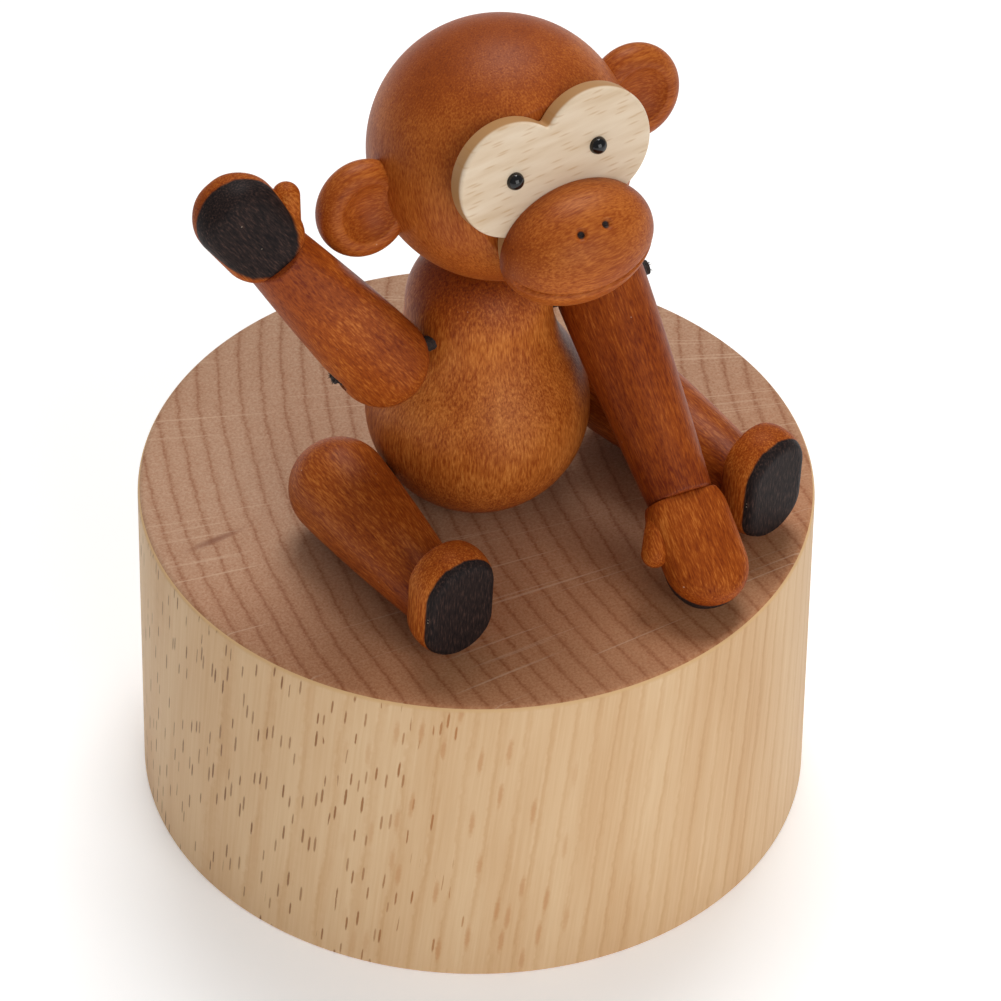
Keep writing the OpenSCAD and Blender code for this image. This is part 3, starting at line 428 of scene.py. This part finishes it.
# sizes and strengths for the log's end; a ray has its width at the distance rayAt from the heart; the front shade is
# painted shade, darker and redder towards the front where the figure's shadow falls
endLook = dict(ray=0.5, rayAt=125.0, rayLong=34.0, rayEdge=(0.64, 0.73), rayMix=0.46, rayColor="#d3b093",
               speck=0.32, speckSpan=(0.25, 0.75), speckMix=0.42, cloud=18.0, cloudMix=0.3, lateMix=0.27,
               paintedFrontShade=(12, -34), paintedFrontShadeMix=0.85, paintedFrontShadeColor="#fbdcbc", mark=(5.4, 0.8), markAt=(-32, 5.35), markTurn=3.0,
               markRagged=0.8, markEdge=(0.5, 1.4), markMix=0.7, markColor="#7d4a34", rough=0.62, gloss=0.22,
               relief=(0.18, 0.1),
               late=[(0.0, "#9c9c9c"), (0.14, "#282828"), (0.5, "#282828"), (0.76, "#808080"), (0.91, "#ffffff"),
                     (1.0, "#9c9c9c")],
               wood=[(0.2, "#c39e82"), (0.45, "#b18668"), (0.7, "#99684a"), (0.9, "#845336")])


# Beech end grain, sanded: pinkish brown, each growth ring fading from pale to a thin red-brown late line,
# crossed by thin pale rays that point at the log's heart, a fine speckle of cut pores, painted shade that makes the
# top darker and redder towards the front, where the figure's shadow falls, and one small dark mineral streak.
def beechEnd():
    s = endLook
    mat, tree, shader = newMaterial("beech end grain, sanded")
    place = ownPlace(tree)
    share, dist, bearing = growthRings(tree, place)
    across = calc(tree, "MULTIPLY", bearing, s["rayAt"] / s["ray"])
    slow = calc(tree, "MULTIPLY", dist, 1 / s["rayLong"])
    rays = noise(tree, addNode(tree, "CombineXYZ", {0: across, 1: slow}).outputs[0], 1, 1, Roughness=0.4)
    speck = noise(tree, place, s["speck"], 3, Roughness=0.7)
    cloud = noise(tree, place, s["cloud"], 3)
    tone = remap(tree, speck, s["speckSpan"], (0, s["speckMix"]), soft=False)
    tone = addShare(tree, cloud, s["cloudMix"], tone)
    tone = addShare(tree, ramp(tree, share, s["late"]), s["lateMix"], tone)
    # painted shade: towards the front the wood colour is multiplied darker and redder, standing for the figure's
    # shadow
    paintedFrontShade = remap(tree, addNode(tree, "SeparateXYZ", {0: place}).outputs[1], s["paintedFrontShade"], (0, s["paintedFrontShadeMix"]))
    color = blend(tree, paintedFrontShade, ramp(tree, tone, s["wood"]), hexColor(s["paintedFrontShadeColor"]), "MULTIPLY")
    color = blend(tree, remap(tree, rays, s["rayEdge"], (0, s["rayMix"])), color, hexColor(s["rayColor"]))
    markPlace = addNode(tree, "Mapping", {"Vector": place, "Location": s["markAt"] + (b["h"],),
                                          "Rotation": (0, 0, np.radians(s["markTurn"])),
                                          "Scale": s["mark"] + (1,)}, vector_type="TEXTURE")
    away = addNode(tree, "VectorMath", {0: markPlace.outputs[0]}, operation="LENGTH").outputs["Value"]
    mark = remap(tree, addShare(tree, cloud, s["markRagged"], away), s["markEdge"], (s["markMix"], 0))
    color = blend(tree, mark, color, hexColor(s["markColor"]))
    dress(tree, shader, color, s["rough"], s["gloss"], speck, s["relief"])
    return mat


settle(block, "case", "beech", ["base_block"], beechSide(), beechEnd())
block.data.polygons.foreach_set("material_index", endGrain.astype(np.int32))


# Torso: two circle arcs for belly and chest with a tangent hollow between them, carried round the axis;
# points inside the head's ball drop onto its lower surface, which leaves the dished neck.
span = f["chestZ"] - f["bellyZ"]
ra, rb = f["belly"] + f["waist"], f["chest"] + f["waist"]
up = (span ** 2 + ra ** 2 - rb ** 2) / (2 * span)
out = np.sqrt(ra ** 2 - up ** 2)
low = np.degrees(np.arcsin(-f["bellyZ"] / f["belly"]))
a1, a2 = np.degrees(np.arctan2(up, out)), np.degrees(np.arctan2(up - span, out))
profile = np.vstack([level(f["innerR"], f["belly"] * np.cos(np.radians(low)), 10, 0, slice(-1)),
                     arc(0, f["bellyZ"], f["belly"], low, a1, 70),
                     arc(out, f["bellyZ"] + up, f["waist"], 180 + a1, 180 + a2, 30)[1:-1],
                     arc(0, f["chestZ"], f["chest"], a2, 89, 60)])
rings = lathe(profile, f["count"]) + top
away = np.hypot(rings[..., 0] - headAt[0], rings[..., 1] - headAt[1])
seat = headAt[2] - np.sqrt(np.maximum((f["head"] + f["gap"]) ** 2 - away ** 2, 0))
rings[..., 2] = np.where(away < f["head"], np.minimum(rings[..., 2], seat), rings[..., 2])
torso = ringMesh("torsoTurned", rings, (top, rings[-1].mean(0)))
settle(torso, "case", "stained_wood", ["torso"],
       stainedWood("stained beech, torso", np.eye(3), top + [0, 0, f["mid"]], f["half"], dict(stain, soak=f["soak"])))

# Head: a ball planed flat for the face, with a softened edge; the section is carried round the face's normal.
inner = np.sqrt((f["head"] - f["edge"]) ** 2 - (f["flat"] - f["edge"]) ** 2)
lean = np.degrees(np.arctan2(f["flat"] - f["edge"], inner))
profile = np.vstack([arc(0, 0, f["head"], -89, lean, 120),
                     arc(inner, f["flat"] - f["edge"], f["edge"], lean, 90, 8)[1:],
                     level(inner, f["faceR"], 12, f["flat"], slice(1, None))])
faceOut = turn("x", 90)   # z of a turned section becomes the way the face looks
onHead = (headSpin, headAt)
headPiece = turnedMesh("headTurned", profile, f["count"], (-f["head"], f["flat"]), (faceOut, 0), onHead)
settle(headPiece, "head", "stained_wood", ["head"],
       stainedWood("stained beech, head", headSpin, headAt, f["headHalf"], stainFine, f["extraStainAndShade"]))
print("torso and head turned")


# Ears: flat back, round rim and a dished front, carried round the disc's axis.
ear = dict(r=5.8, t=4.2, dish=1.6, at=17.9, y=0.5, z=-0.5, innerR=0.3, half=8.0, extraStainAndShade=0.08)
flatR = ear["r"] - ear["t"] / 2
q = np.linspace(flatR, ear["innerR"], 30)
profile = np.vstack([level(ear["innerR"], flatR, 8, 0, slice(-1)),
                     arc(flatR, ear["t"] / 2, ear["t"] / 2, -90, 78, 40),
                     np.stack([q, ear["t"] - ear["dish"] * (1 - (q / flatR) ** 2)], -1)[1:]])
for side, word in ((1, "left"), (-1, "right")):
    offset = np.array([side * ear["at"], ear["y"] + ear["t"] / 2, ear["z"]])
    piece = turnedMesh(word + "EarTurned", profile, 144, (0, ear["t"] - ear["dish"]), (faceOut, offset), onHead)
    settle(piece, "head", "stained_wood", [word + "_ear"],
           stainedWood("stained beech, %s ear" % word, headSpin @ turn("y", 90), carry(offset, *onHead),
                       ear["half"], stainFine, ear["extraStainAndShade"]))

# Face plate: in the face's plane the outline is, for each direction, the farthest crossing with three circles,
# blended by a high power mean; rings of that outline step in by the edge rounding and then shrink to the middle.
plate = dict(t=2.6, lobeX=5.4, lobeZ=3.8, lobe=6.9, cheekZ=-6.0, cheek=8.2, mid=-0.6, soft=0.45, power=26)
faceY, plateY = -f["flat"], -f["flat"] - plate["t"]
t = fullRound(288)
ray = np.stack([np.cos(t), np.sin(t)], -1)
far = []
for cx, cz, r in ((plate["lobeX"], plate["lobeZ"], plate["lobe"]), (-plate["lobeX"], plate["lobeZ"], plate["lobe"]),
                  (0, plate["cheekZ"], plate["cheek"])):
    c = np.array([cx, cz - plate["mid"]])
    along = ray @ c
    inside = r ** 2 - (c @ c - along ** 2)
    far.append(np.where(inside > 0, along + np.sqrt(np.maximum(inside, 0)), 0.1))
outline = (np.maximum(np.array(far), 0.1) ** plate["power"]).sum(0) ** (1 / plate["power"])


# one ring of the outline at depth y, from its distances from the middle
def plateRing(distance, y):
    return np.stack([ray[:, 0] * distance, np.full(len(t), y), ray[:, 1] * distance + plate["mid"]], -1)


soft = np.radians(np.linspace(0, 90, 7))
step = [(plate["soft"] * (1 - np.sin(a)), plate["soft"] * (1 - np.cos(a))) for a in soft]
inset = step + [(d, plate["t"] - y) for d, y in step[::-1]]
rows = [plateRing(outline - d, faceY - y) for d, y in inset]
shrink = [plateRing((outline - plate["soft"]) * k, plateY) for k in np.linspace(0.95, 0.05, 12)]
facePiece = ringMesh("facePlate", carry(rows + shrink, *onHead),
                     carry([[0, faceY, plate["mid"]], [0, plateY, plate["mid"]]], *onHead))

mapleLook = dict(dash=0.6, dashLong=7.0, dashEdge=(0.06, 0.26), dashFew=0.7, dashMix=0.42, dashColor="#c59a68",
                 cloud=1.6, sawn=(0.2, 0.7), sawnMix=0.9, sawnColor="#b07c42", rough=0.55, gloss=0.3,
                 relief=(0.15, 0.1), wood=[(0.3, "#ecd8be"), (0.55, "#e2caac"), (0.75, "#d3b590")])


# Maple, planed: pale cream with short tan pore dashes along the grain and slightly darker sawn edges.
def paleMaple(name, spin, centre, front):
    s = mapleLook
    mat, tree, shader = newMaterial(name)
    xyz = addNode(tree, "SeparateXYZ", {0: ownPlace(tree, spin, centre)}).outputs
    flatAt = addNode(tree, "CombineXYZ", {0: xyz[0], 1: xyz[2]}).outputs[0]
    along = stretch(tree, flatAt, (1 / s["dashLong"], 1, 1))
    away, chance = cells(tree, along, s["dash"], voronoi_dimensions="2D")
    keep = calc(tree, "LESS_THAN", chance[0], s["dashFew"])
    dash = calc(tree, "MULTIPLY", remap(tree, away, s["dashEdge"], (1, 0)), keep)
    cloud = noise(tree, along, s["cloud"], 4)
    dash = calc(tree, "MULTIPLY", dash, s["dashMix"])
    color = blend(tree, dash, ramp(tree, cloud, s["wood"]), hexColor(s["dashColor"]))
    sawn = remap(tree, xyz[1], [front + d for d in s["sawn"]], (0, s["sawnMix"]))
    color = blend(tree, sawn, color, hexColor(s["sawnColor"]))
    dress(tree, shader, color, s["rough"], s["gloss"], cloud, s["relief"])
    return mat


settle(facePiece, "head", "pale_wood", ["face_plate"], paleMaple("maple, planed", headSpin, headAt, plateY))

# Muzzle: an oval ball cut flat at the back; the mouth is a shallow groove along a tilted plane
# and the nostrils are two dimples, both as a fall in the distance from the middle.
muzzle = dict(w=9.4, r=6.9, out=1.0, z=-6.0, drop=32.0, groove=0.75, grooveW=0.3, grooveEnd=(1.2, 3.0),
              nostrilX=1.7, nostrilUp=35.0, nostril=0.6, nostrilIn=0.5, mouthDark=0.35, nostrilDark=0.75, half=10.0)
alpha = np.linspace(np.radians(1.0), np.arccos(-muzzle["out"] / muzzle["r"]), 150)[:, None]
beta = fullRound(300)[None]
shape = np.stack([muzzle["w"] * np.sin(alpha) * np.cos(beta), -muzzle["r"] * np.cos(alpha) + 0 * beta,
                  muzzle["r"] * np.sin(alpha) * np.sin(beta)], -1)
drop, u = np.radians(muzzle["drop"]), np.radians(muzzle["nostrilUp"])
offPlane = shape[..., 2] * np.cos(drop) - shape[..., 1] * np.sin(drop)
mouth = np.exp(-(offPlane / muzzle["grooveW"]) ** 2) * ease(-shape[..., 1], *muzzle["grooveEnd"])
dimple = np.zeros(mouth.shape)
for side in (-1, 1):
    spot = np.array([side * muzzle["nostrilX"], -muzzle["r"] * np.cos(u), muzzle["r"] * np.sin(u)])
    dimple = np.maximum(dimple, np.exp(-(np.linalg.norm(shape - spot, axis=-1) / muzzle["nostril"]) ** 4))
shape = shape * (1 - (muzzle["groove"] * mouth + muzzle["nostrilIn"] * dimple) / muzzle["r"])[..., None]
muzzleAt = np.array([0, plateY - muzzle["out"], muzzle["z"]])
poles = np.array([[0, -muzzle["r"], 0], [0, muzzle["out"], 0]])
snout = ringMesh("muzzleTurned", carry(shape + muzzleAt, *onHead), carry(poles + muzzleAt, *onHead))
paintVertices(snout, "charred", muzzle["mouthDark"] * mouth + muzzle["nostrilDark"] * dimple)
settle(snout, "head", "stained_wood", ["muzzle"],
       stainedWood("stained beech, muzzle", headSpin @ turn("y", 90), carry(muzzleAt, *onHead), muzzle["half"],
                   dict(stainFine, **black), f["extraStainAndShade"]))

# Eyes: small glossy domes, half a ball carried round the face's normal, with a short skirt into the plate.
eye = dict(r=1.05, gap=10.8, z=3.8, skirt=-0.4)
profile = np.vstack([[[eye["r"] * 0.98, eye["skirt"]]], arc(0, 0, eye["r"], 0, 88, 24)])
eyes = joinShells(*[turnedMesh("eyeBeads", profile, 64, (eye["skirt"], eye["r"]),
                               (faceOut, np.array([side * eye["gap"] / 2, plateY, eye["z"]])), onHead)
                    for side in (-1, 1)])


# Black glass bead, fire polished: hard bright highlight, a trace of cloudiness.
def blackBead():
    mat, tree, shader = newMaterial("black glass bead")
    haze = noise(tree, objectPlace(tree), 0.5 * mm, 2)
    dress(tree, shader, ramp(tree, haze, [(0.35, "#08080a"), (0.7, "#141214")]),
          remap(tree, haze, (0, 1), (0.06, 0.14), soft=False))
    return mat


settle(eyes, "head", "bead", ["eyes"], blackBead())
print("face done")


# Limbs: the radius keeps to a ball at the cord and then tapers by a power of the length;
# the section is carried round the limb, and points near the cord's line sink to the knot's seat.
limbs = dict(arm=dict(r=5.5, end=3.9, len=27.0, at=(14.45, -3.0, 26.5), cordOut=5.25, seat=True),
             leg=dict(r=6.0, end=3.9, len=21.0, at=(18.8733, -1.0, 7.4), cordOut=3.0, seat=False),
             seatR=1.75, seatSoft=0.12, seatIn=2.0, taper=1.3, soft=0.25, past=4.0, count=200)
# kind, side, lift and splay in degrees, and how much darker the limb's stain is made: partly more stain taken up,
# partly painted shade, most on the left arm that lies in the head's shadow
poses = dict(left_arm=("arm", 1, 54.0, -3.0, 0.2), right_arm=("arm", -1, 177.0, 33.0, 0.13),
             left_leg=("leg", 1, 86.0, 14.0, 0.12), right_leg=("leg", -1, 86.0, -4.0, 0.1))


# turn and place of a limb, its side, its sizes and its extra stain, which is partly painted shade
def limbFrame(word):
    kind, side, lift, splay, extraStainAndShade = poses[word]
    x, y, z = limbs[kind]["at"]
    return turn("x", -lift) @ turn("y", -side * splay), np.array([side * x, y, z]) + top, side, limbs[kind], extraStainAndShade


def limbPiece(word):
    spin, at, side, limb, extraStainAndShade = limbFrame(word)
    r0, r1, size = limb["r"], limb["end"], limb["len"]
    k = np.linspace(0, 1, 70)[1:]
    profile = np.vstack([arc(0, 0, r0, 89, 0, 60),
                         np.stack([r1 + (r0 - r1) * (1 - k ** limbs["taper"]), -size * k], -1)])
    last = profile[-1]
    profile = np.vstack([profile[:-1], last + [0, limbs["soft"]], last + [-limbs["soft"], 0]])
    rings = lathe(profile, limbs["count"])
    if limb["seat"]:
        pin = spin.T @ np.array([side, 0, 0])   # the cord's line, outwards
        w = rings @ pin
        off = np.linalg.norm(rings - w[..., None] * pin, axis=-1)
        near = 1 - ease(off, limbs["seatR"] - limbs["seatSoft"], limbs["seatR"] + limbs["seatSoft"])
        sink = np.where(w > 0, np.minimum(r0 - limbs["seatIn"] - w, 0) * near, 0)
        rings = rings + sink[..., None] * pin
    piece = ringMesh(word.replace("_a", "A").replace("_l", "L") + "Turned", carry(rings, spin, at),
                     carry([[0, 0, r0], [0, 0, -size]], spin, at))
    settle(piece, word, "stained_wood", [word],
           stainedWood("stained beech, " + word.replace("_", " "), spin, carry([0, 0, (r0 - size) / 2], spin, at),
                       size / 2 + limbs["past"], stain, extraStainAndShade))


for word in poses:
    limbPiece(word)

# Hands: along the hand the half width follows a round-ended bar and the half thickness is capped softly;
# each section is a superellipse. The thumb is a short round-ended bar of the same kind.
# the hand takes a share of its arm's extra stain, so it too is partly painted shade
hand = dict(r=5.0, top=2.4, len=6.0, half=3.2, cap=5.0, power=2.5, thumbR=1.6, thumbLen=4.2, thumbOut=5.5,
            thumbDown=3.0, thumbWay=(0.5, -0.866), palm=(0.4, 2.2), palmTip=0.25, palmMid=6, halfLen=8.0, extraStainAndShade=0.6)


def handPiece(word):
    spin, at, side, arm, extraStainAndShade = limbFrame(word + "_arm")
    size = arm["len"]
    end = hand["top"] + hand["len"] + hand["r"]
    s = end * np.sin(np.linspace(0, np.pi / 2, 80)[:-1])
    fall = np.where(s < hand["top"], hand["top"] - s, np.maximum(s - hand["top"] - hand["len"], 0))
    wide = np.sqrt(np.maximum(hand["r"] ** 2 - fall ** 2, 0.02))
    thick = (wide ** -hand["cap"] + hand["half"] ** -hand["cap"]) ** (-1 / hand["cap"])
    t = fullRound(160)
    c, sn = (np.sign(w) * np.abs(w) ** (2 / hand["power"]) for w in (np.cos(t), np.sin(t)))
    rings = np.stack([wide[:, None] * c, thick[:, None] * sn, -(size + s)[:, None] + 0 * t], -1)
    palm = ringMesh(word + "HandCarved", carry(rings, spin, at), carry([[0, 0, -size], [0, 0, -size - end]], spin, at))
    tip = np.array([-side * hand["thumbOut"], 0, -size - hand["top"] - hand["thumbDown"]])
    across, way = np.array([0, 1, 0]), np.array([-side * hand["thumbWay"][0], 0, hand["thumbWay"][1]])
    basis = np.stack([np.cross(across, way), across, way], -1)
    k = np.linspace(-np.pi / 2, np.pi / 2, 50)[1:-1]
    lift = np.where(k < 0, -hand["thumbLen"], 0) + hand["thumbR"] * np.sin(k)
    thumb = turnedMesh("thumb", np.stack([hand["thumbR"] * np.cos(k), lift], -1), 64,
                       (-hand["thumbLen"] - hand["thumbR"], hand["thumbR"]), (basis, tip), (spin, at))
    piece = joinShells(palm, thumb)
    # dark on the palm, and a little round the fingertips
    deep = rings[..., 1] + hand["palmTip"] * (s[:, None] - hand["palmMid"])
    paintVertices(piece, "charred", ease(deep, *hand["palm"]))
    settle(piece, word + "_arm", "dark_tipped_wood", [word + "_hand"],
           stainedWood("stained beech, %s hand" % word, spin, carry([0, 0, -size - end / 2], spin, at),
                       hand["halfLen"], stainDark, extraStainAndShade * hand["extraStainAndShade"]))


# Feet: slices across the leg hold a round-ended outline that steps in with the slab's rounded sides,
# then the sole closes by shrinking rings.
# the foot takes a share of its leg's extra stain, so it too is partly painted shade
foot = dict(r=4.9, len=5.0, mid=2.4, t=5.2, heel=0.32238, soft=0.5, sole=(1.6, 0.5), close=12, heart=2.0, half=9.0,
            extraStainAndShade=0.5)


def footPiece(word):
    spin, at, _, leg, extraStainAndShade = limbFrame(word + "_leg")
    size = leg["len"]
    t = fullRound(200)
    c, sn = np.cos(t), np.sin(t)
    z = np.linspace(0, foot["t"], 40)
    bulge = np.sqrt(foot["r"] ** 2 - (z - foot["mid"]) ** 2)
    corner = np.minimum(np.minimum(z, foot["t"] - z) / foot["soft"], 1)
    bulge = bulge - foot["soft"] * (1 - np.sqrt(1 - (1 - corner) ** 2))
    centre = np.where(sn > 0, foot["heel"], foot["heel"] - foot["len"])
    slices = np.stack([bulge[:, None] * c, bulge[:, None] * sn + centre, -(size + z)[:, None] + 0 * c], -1)
    mid = np.array([0, foot["heel"] - foot["len"] / 2, 0])
    close = [(slices[-1] - mid) * [k, k, 1] + mid for k in np.linspace(0.94, 0.06, foot["close"])]
    piece = ringMesh(word + "FootCarved", carry(np.concatenate([slices, close]), spin, at),
                     carry([mid + [0, 0, -size], mid + [0, 0, -size - foot["t"]]], spin, at))
    dark = ease(z, *[foot["t"] - d for d in foot["sole"]])
    paintVertices(piece, "charred", np.repeat(np.append(dark, np.ones(foot["close"]))[:, None], len(t), 1))
    settle(piece, word + "_leg", "dark_tipped_wood", [word + "_foot"],
           stainedWood("stained beech, %s foot" % word, spin @ turn("x", 90),
                       carry(mid + [0, 0, -size - foot["heart"]], spin, at), foot["half"], stainDark,
                       extraStainAndShade * foot["extraStainAndShade"]))


for word in ("left", "right"):
    handPiece(word)
    footPiece(word)
print("limbs done")


# Elastic cords: a tube on the hinge line whose radius swells into a knot at each end, with a plait as crossing waves.
cord = dict(r=0.9, knot=1.4, knotIn=0.3, knotShort=1.5, tail=1.1, plait=8, pitch=9, plaitHigh=0.022,
            lump=0.14, lumps=2, lumpPitch=3.2, fibres=26, fibreR=0.05, fibreThin=0.6, fibreAt=0.5,
            fibreLen=(0.2, 0.5), fibreBend=(0.0, 0.35))


def cordPiece(name, at, reach, knots):
    ends = reach + cord["tail"] * knots
    x = np.linspace(-ends, ends, 500)[:, None]
    t = fullRound(48)[None]
    bulge = cord["knot"] ** 2 - (np.abs(x) - reach + cord["knotIn"]) ** 2 * cord["knotShort"]
    swell = knots * np.maximum(bulge, 0) ** 0.5
    weave = np.cos(cord["plait"] * t + cord["pitch"] * x) + np.cos(cord["plait"] * t - cord["pitch"] * x)
    lump = np.where(swell > cord["r"], cord["lump"] * np.cos(cord["lumps"] * t + cord["lumpPitch"] * x), 0)
    r = np.maximum(cord["r"], swell) * (1 + cord["plaitHigh"] * weave + lump)
    rings = np.stack([x + 0 * t, r * np.cos(t), r * np.sin(t)], -1) + at
    return ringMesh(name, rings, np.array([[-ends, 0, 0], [ends, 0, 0]]) + at)


# frayed end: short fibres that leave the cut end and bend outwards, each a thin three-sided bar
def fray(at, side, count):
    spread = rng.uniform(0, 2 * np.pi, count)
    reachOut = rng.uniform(*cord["fibreLen"], count)
    bend = rng.uniform(*cord["fibreBend"], count)
    k = np.linspace(0, 1, 5)
    t = fullRound(3)
    thick = cord["fibreR"] * (1 - cord["fibreThin"] * k)
    ring = np.stack([0 * t, np.cos(t), np.sin(t)], -1)[None] * thick[:, None, None]
    shells = []
    for a, out, c in zip(spread, reachOut, bend):
        away = cord["fibreAt"] + c * k ** 2
        path = np.stack([side * out * k, np.cos(a) * away, np.sin(a) * away], -1) + at
        shells.append(ringMesh("fibre", path[:, None] + ring, (path[0], path[-1])))
    return shells


# Braided elastic: dark brown cotton over rubber, matt, with a fine plait that catches a little light.
def braid():
    mat, tree, shader = newMaterial("braided elastic, dyed")
    strand = noise(tree, objectPlace(tree), 0.25 * mm, 4)
    dress(tree, shader, ramp(tree, strand, [(0.35, "#17100e"), (0.7, "#3a2a24")]), 0.85,
          height=strand, relief=(0.5, 0.1))
    return mat


elastic = braid()
for name, kind, knots, node in (("shoulderElastic", "arm", 1, "shoulder_cord"), ("hipElastic", "leg", 0, "hip_cord")):
    at = limbs[kind]["at"] * np.array([0, 1, 1]) + top
    reach = limbs[kind]["at"][0] + limbs[kind]["cordOut"]   # half the cord, from the middle of the torso
    tube = cordPiece(name, at, reach, knots)
    tails = [s for side in (-1, 1)
             for s in fray(at + [side * (reach + cord["tail"]), 0, 0], side, cord["fibres"] * knots)]
    settle(joinShells(tube, *tails), "case", "elastic", [node], elastic)
print("cords done")


# Metals of the movement. Each has a fine tool texture: brass turned and lacquered, steel drawn,
# zinc die cast with a sandy skin.
def metal(name, light, deep, rough, grit, pull):
    mat, tree, shader = newMaterial(name)
    tooling = noise(tree, stretch(tree, objectPlace(tree), pull), grit * mm, 4)
    dress(tree, shader, ramp(tree, tooling, [(0.3, light), (0.75, deep)]),
          remap(tree, tooling, (0, 1), (rough - 0.08, rough + 0.12), soft=False),
          height=tooling, relief=(0.12, 0.05))
    shader.inputs["Metallic"].default_value = 1.0
    return mat


# Birch plywood, raw: pale face veneer with long soft streaks.
def birchPly():
    mat, tree, shader = newMaterial("birch plywood, raw")
    along = stretch(tree, objectPlace(tree), [1 / (size * mm) for size in (30, 2.2, 0.9)])
    streak = noise(tree, along, 1, 5, Distortion=0.5)
    dress(tree, shader, ramp(tree, streak, [(0.3, "#e6cda6"), (0.55, "#d8b98b"), (0.78, "#bf9a6a")]), 0.65,
          height=streak, relief=(0.2, 0.1))
    return mat


finishes = {
    "plywood": birchPly(),
    "pale_wood": paleMaple("maple dowel", np.eye(3), (0, 0, 0), 60),
    "brass": metal("brass, turned", "#dbb768", "#c49b4b", 0.3, 0.25, (0.3, 0.3, 1)),
    "steel": metal("steel, drawn", "#c9ccd0", "#9a9da2", 0.32, 0.4, (1, 1, 0.15)),
    "spring_steel": metal("spring steel, ground", "#b4b7bc", "#85888e", 0.28, 0.35, (0.2, 1, 1)),
    "zinc": metal("zinc, die cast", "#a8aaac", "#7c7f82", 0.5, 0.3, (1, 1, 1))}
slotOf = {s["node"]: s["material_slot"] for s in frame["record"]["subparts"]}
for name, node in nodes.items():
    if slotOf.get(name) in finishes:
        node.data.materials.clear()
        node.data.materials.append(finishes[slotOf[name]])
print("movement finished")

# floor: a wide sheet of white paper, very slightly uneven, lit to plain white; sizes in metres
sheet = dict(patch=1 / 14.0, rough=0.9, glow=0.25)
floorMesh = bpy.data.meshes.new("floor")
floorMesh.from_pydata([(-6, -6, 0), (6, -6, 0), (6, 6, 0), (-6, 6, 0)], [], [(0, 1, 2, 3)])
floor = bpy.data.objects.new("floor", floorMesh)
scene.collection.objects.link(floor)
floorMat, tree, shader = newMaterial("studio paper, white")
paper = noise(tree, objectPlace(tree), sheet["patch"], 2)
dress(tree, shader, ramp(tree, paper, [(0.3, "#fbfbfb"), (0.7, "#ffffff")]), sheet["rough"])
shader.inputs["Emission Color"].default_value = (1, 1, 1, 1)
shader.inputs["Emission Strength"].default_value = sheet["glow"]
floorMesh.materials.append(floorMat)

# light: a pale room, a broad lamp above and behind, and a low soft one in front
roomLight = 0.27
room = bpy.data.worlds.new("room")
scene.world = room
room.use_nodes = True
room.node_tree.nodes["Background"].inputs["Color"].default_value = (1, 1, 1, 1)
room.node_tree.nodes["Background"].inputs["Strength"].default_value = roomLight
lamps = dict(back=dict(at=(0.25, 0.35, 0.95), size=0.5, power=6.0),
             front=dict(at=(0.02, -1.04, 0.5), size=0.8, power=5.2))
lampAim = Vector((0, 0, 0.05))
for name, lamp in lamps.items():
    data = bpy.data.lights.new(name, "AREA")
    data.energy, data.size = lamp["power"], lamp["size"]
    o = bpy.data.objects.new(name, data)
    o.location = lamp["at"]
    o.rotation_euler = (lampAim - o.location).to_track_quat("-Z", "Y").to_euler()
    scene.collection.objects.link(o)

# camera: long lens, 41 degrees above the table, 30 degrees to the figure's right
view = dict(at=(-0.3283, -0.5744, 0.6117), heading=30.0, drop=40.86, roll=0.87, focal=7388.0, pixels=1001, sensor=36.0)
e, r = np.radians(view["drop"]), np.radians(view["roll"])
right = np.array([1.0, 0, 0])
look, rise = np.array([0, np.cos(e), -np.sin(e)]), np.array([0, np.sin(e), np.cos(e)])
axes = np.stack([np.cos(r) * right + np.sin(r) * rise, -np.sin(r) * right + np.cos(r) * rise, -look], -1)
axes = turn("z", -view["heading"]) @ axes
cameraData = bpy.data.cameras.new("camera")
cameraData.sensor_width, cameraData.sensor_fit = view["sensor"], "HORIZONTAL"
cameraData.lens = view["sensor"] * view["focal"] / view["pixels"]
cameraData.clip_start, cameraData.clip_end = 0.01, 50.0
camera = bpy.data.objects.new("camera", cameraData)
camera.matrix_world = Matrix.Translation(view["at"]) @ Matrix(axes.tolist()).to_4x4()
scene.collection.objects.link(camera)
scene.camera = camera
scene.view_settings.view_transform = "Standard"
print("stage ready")
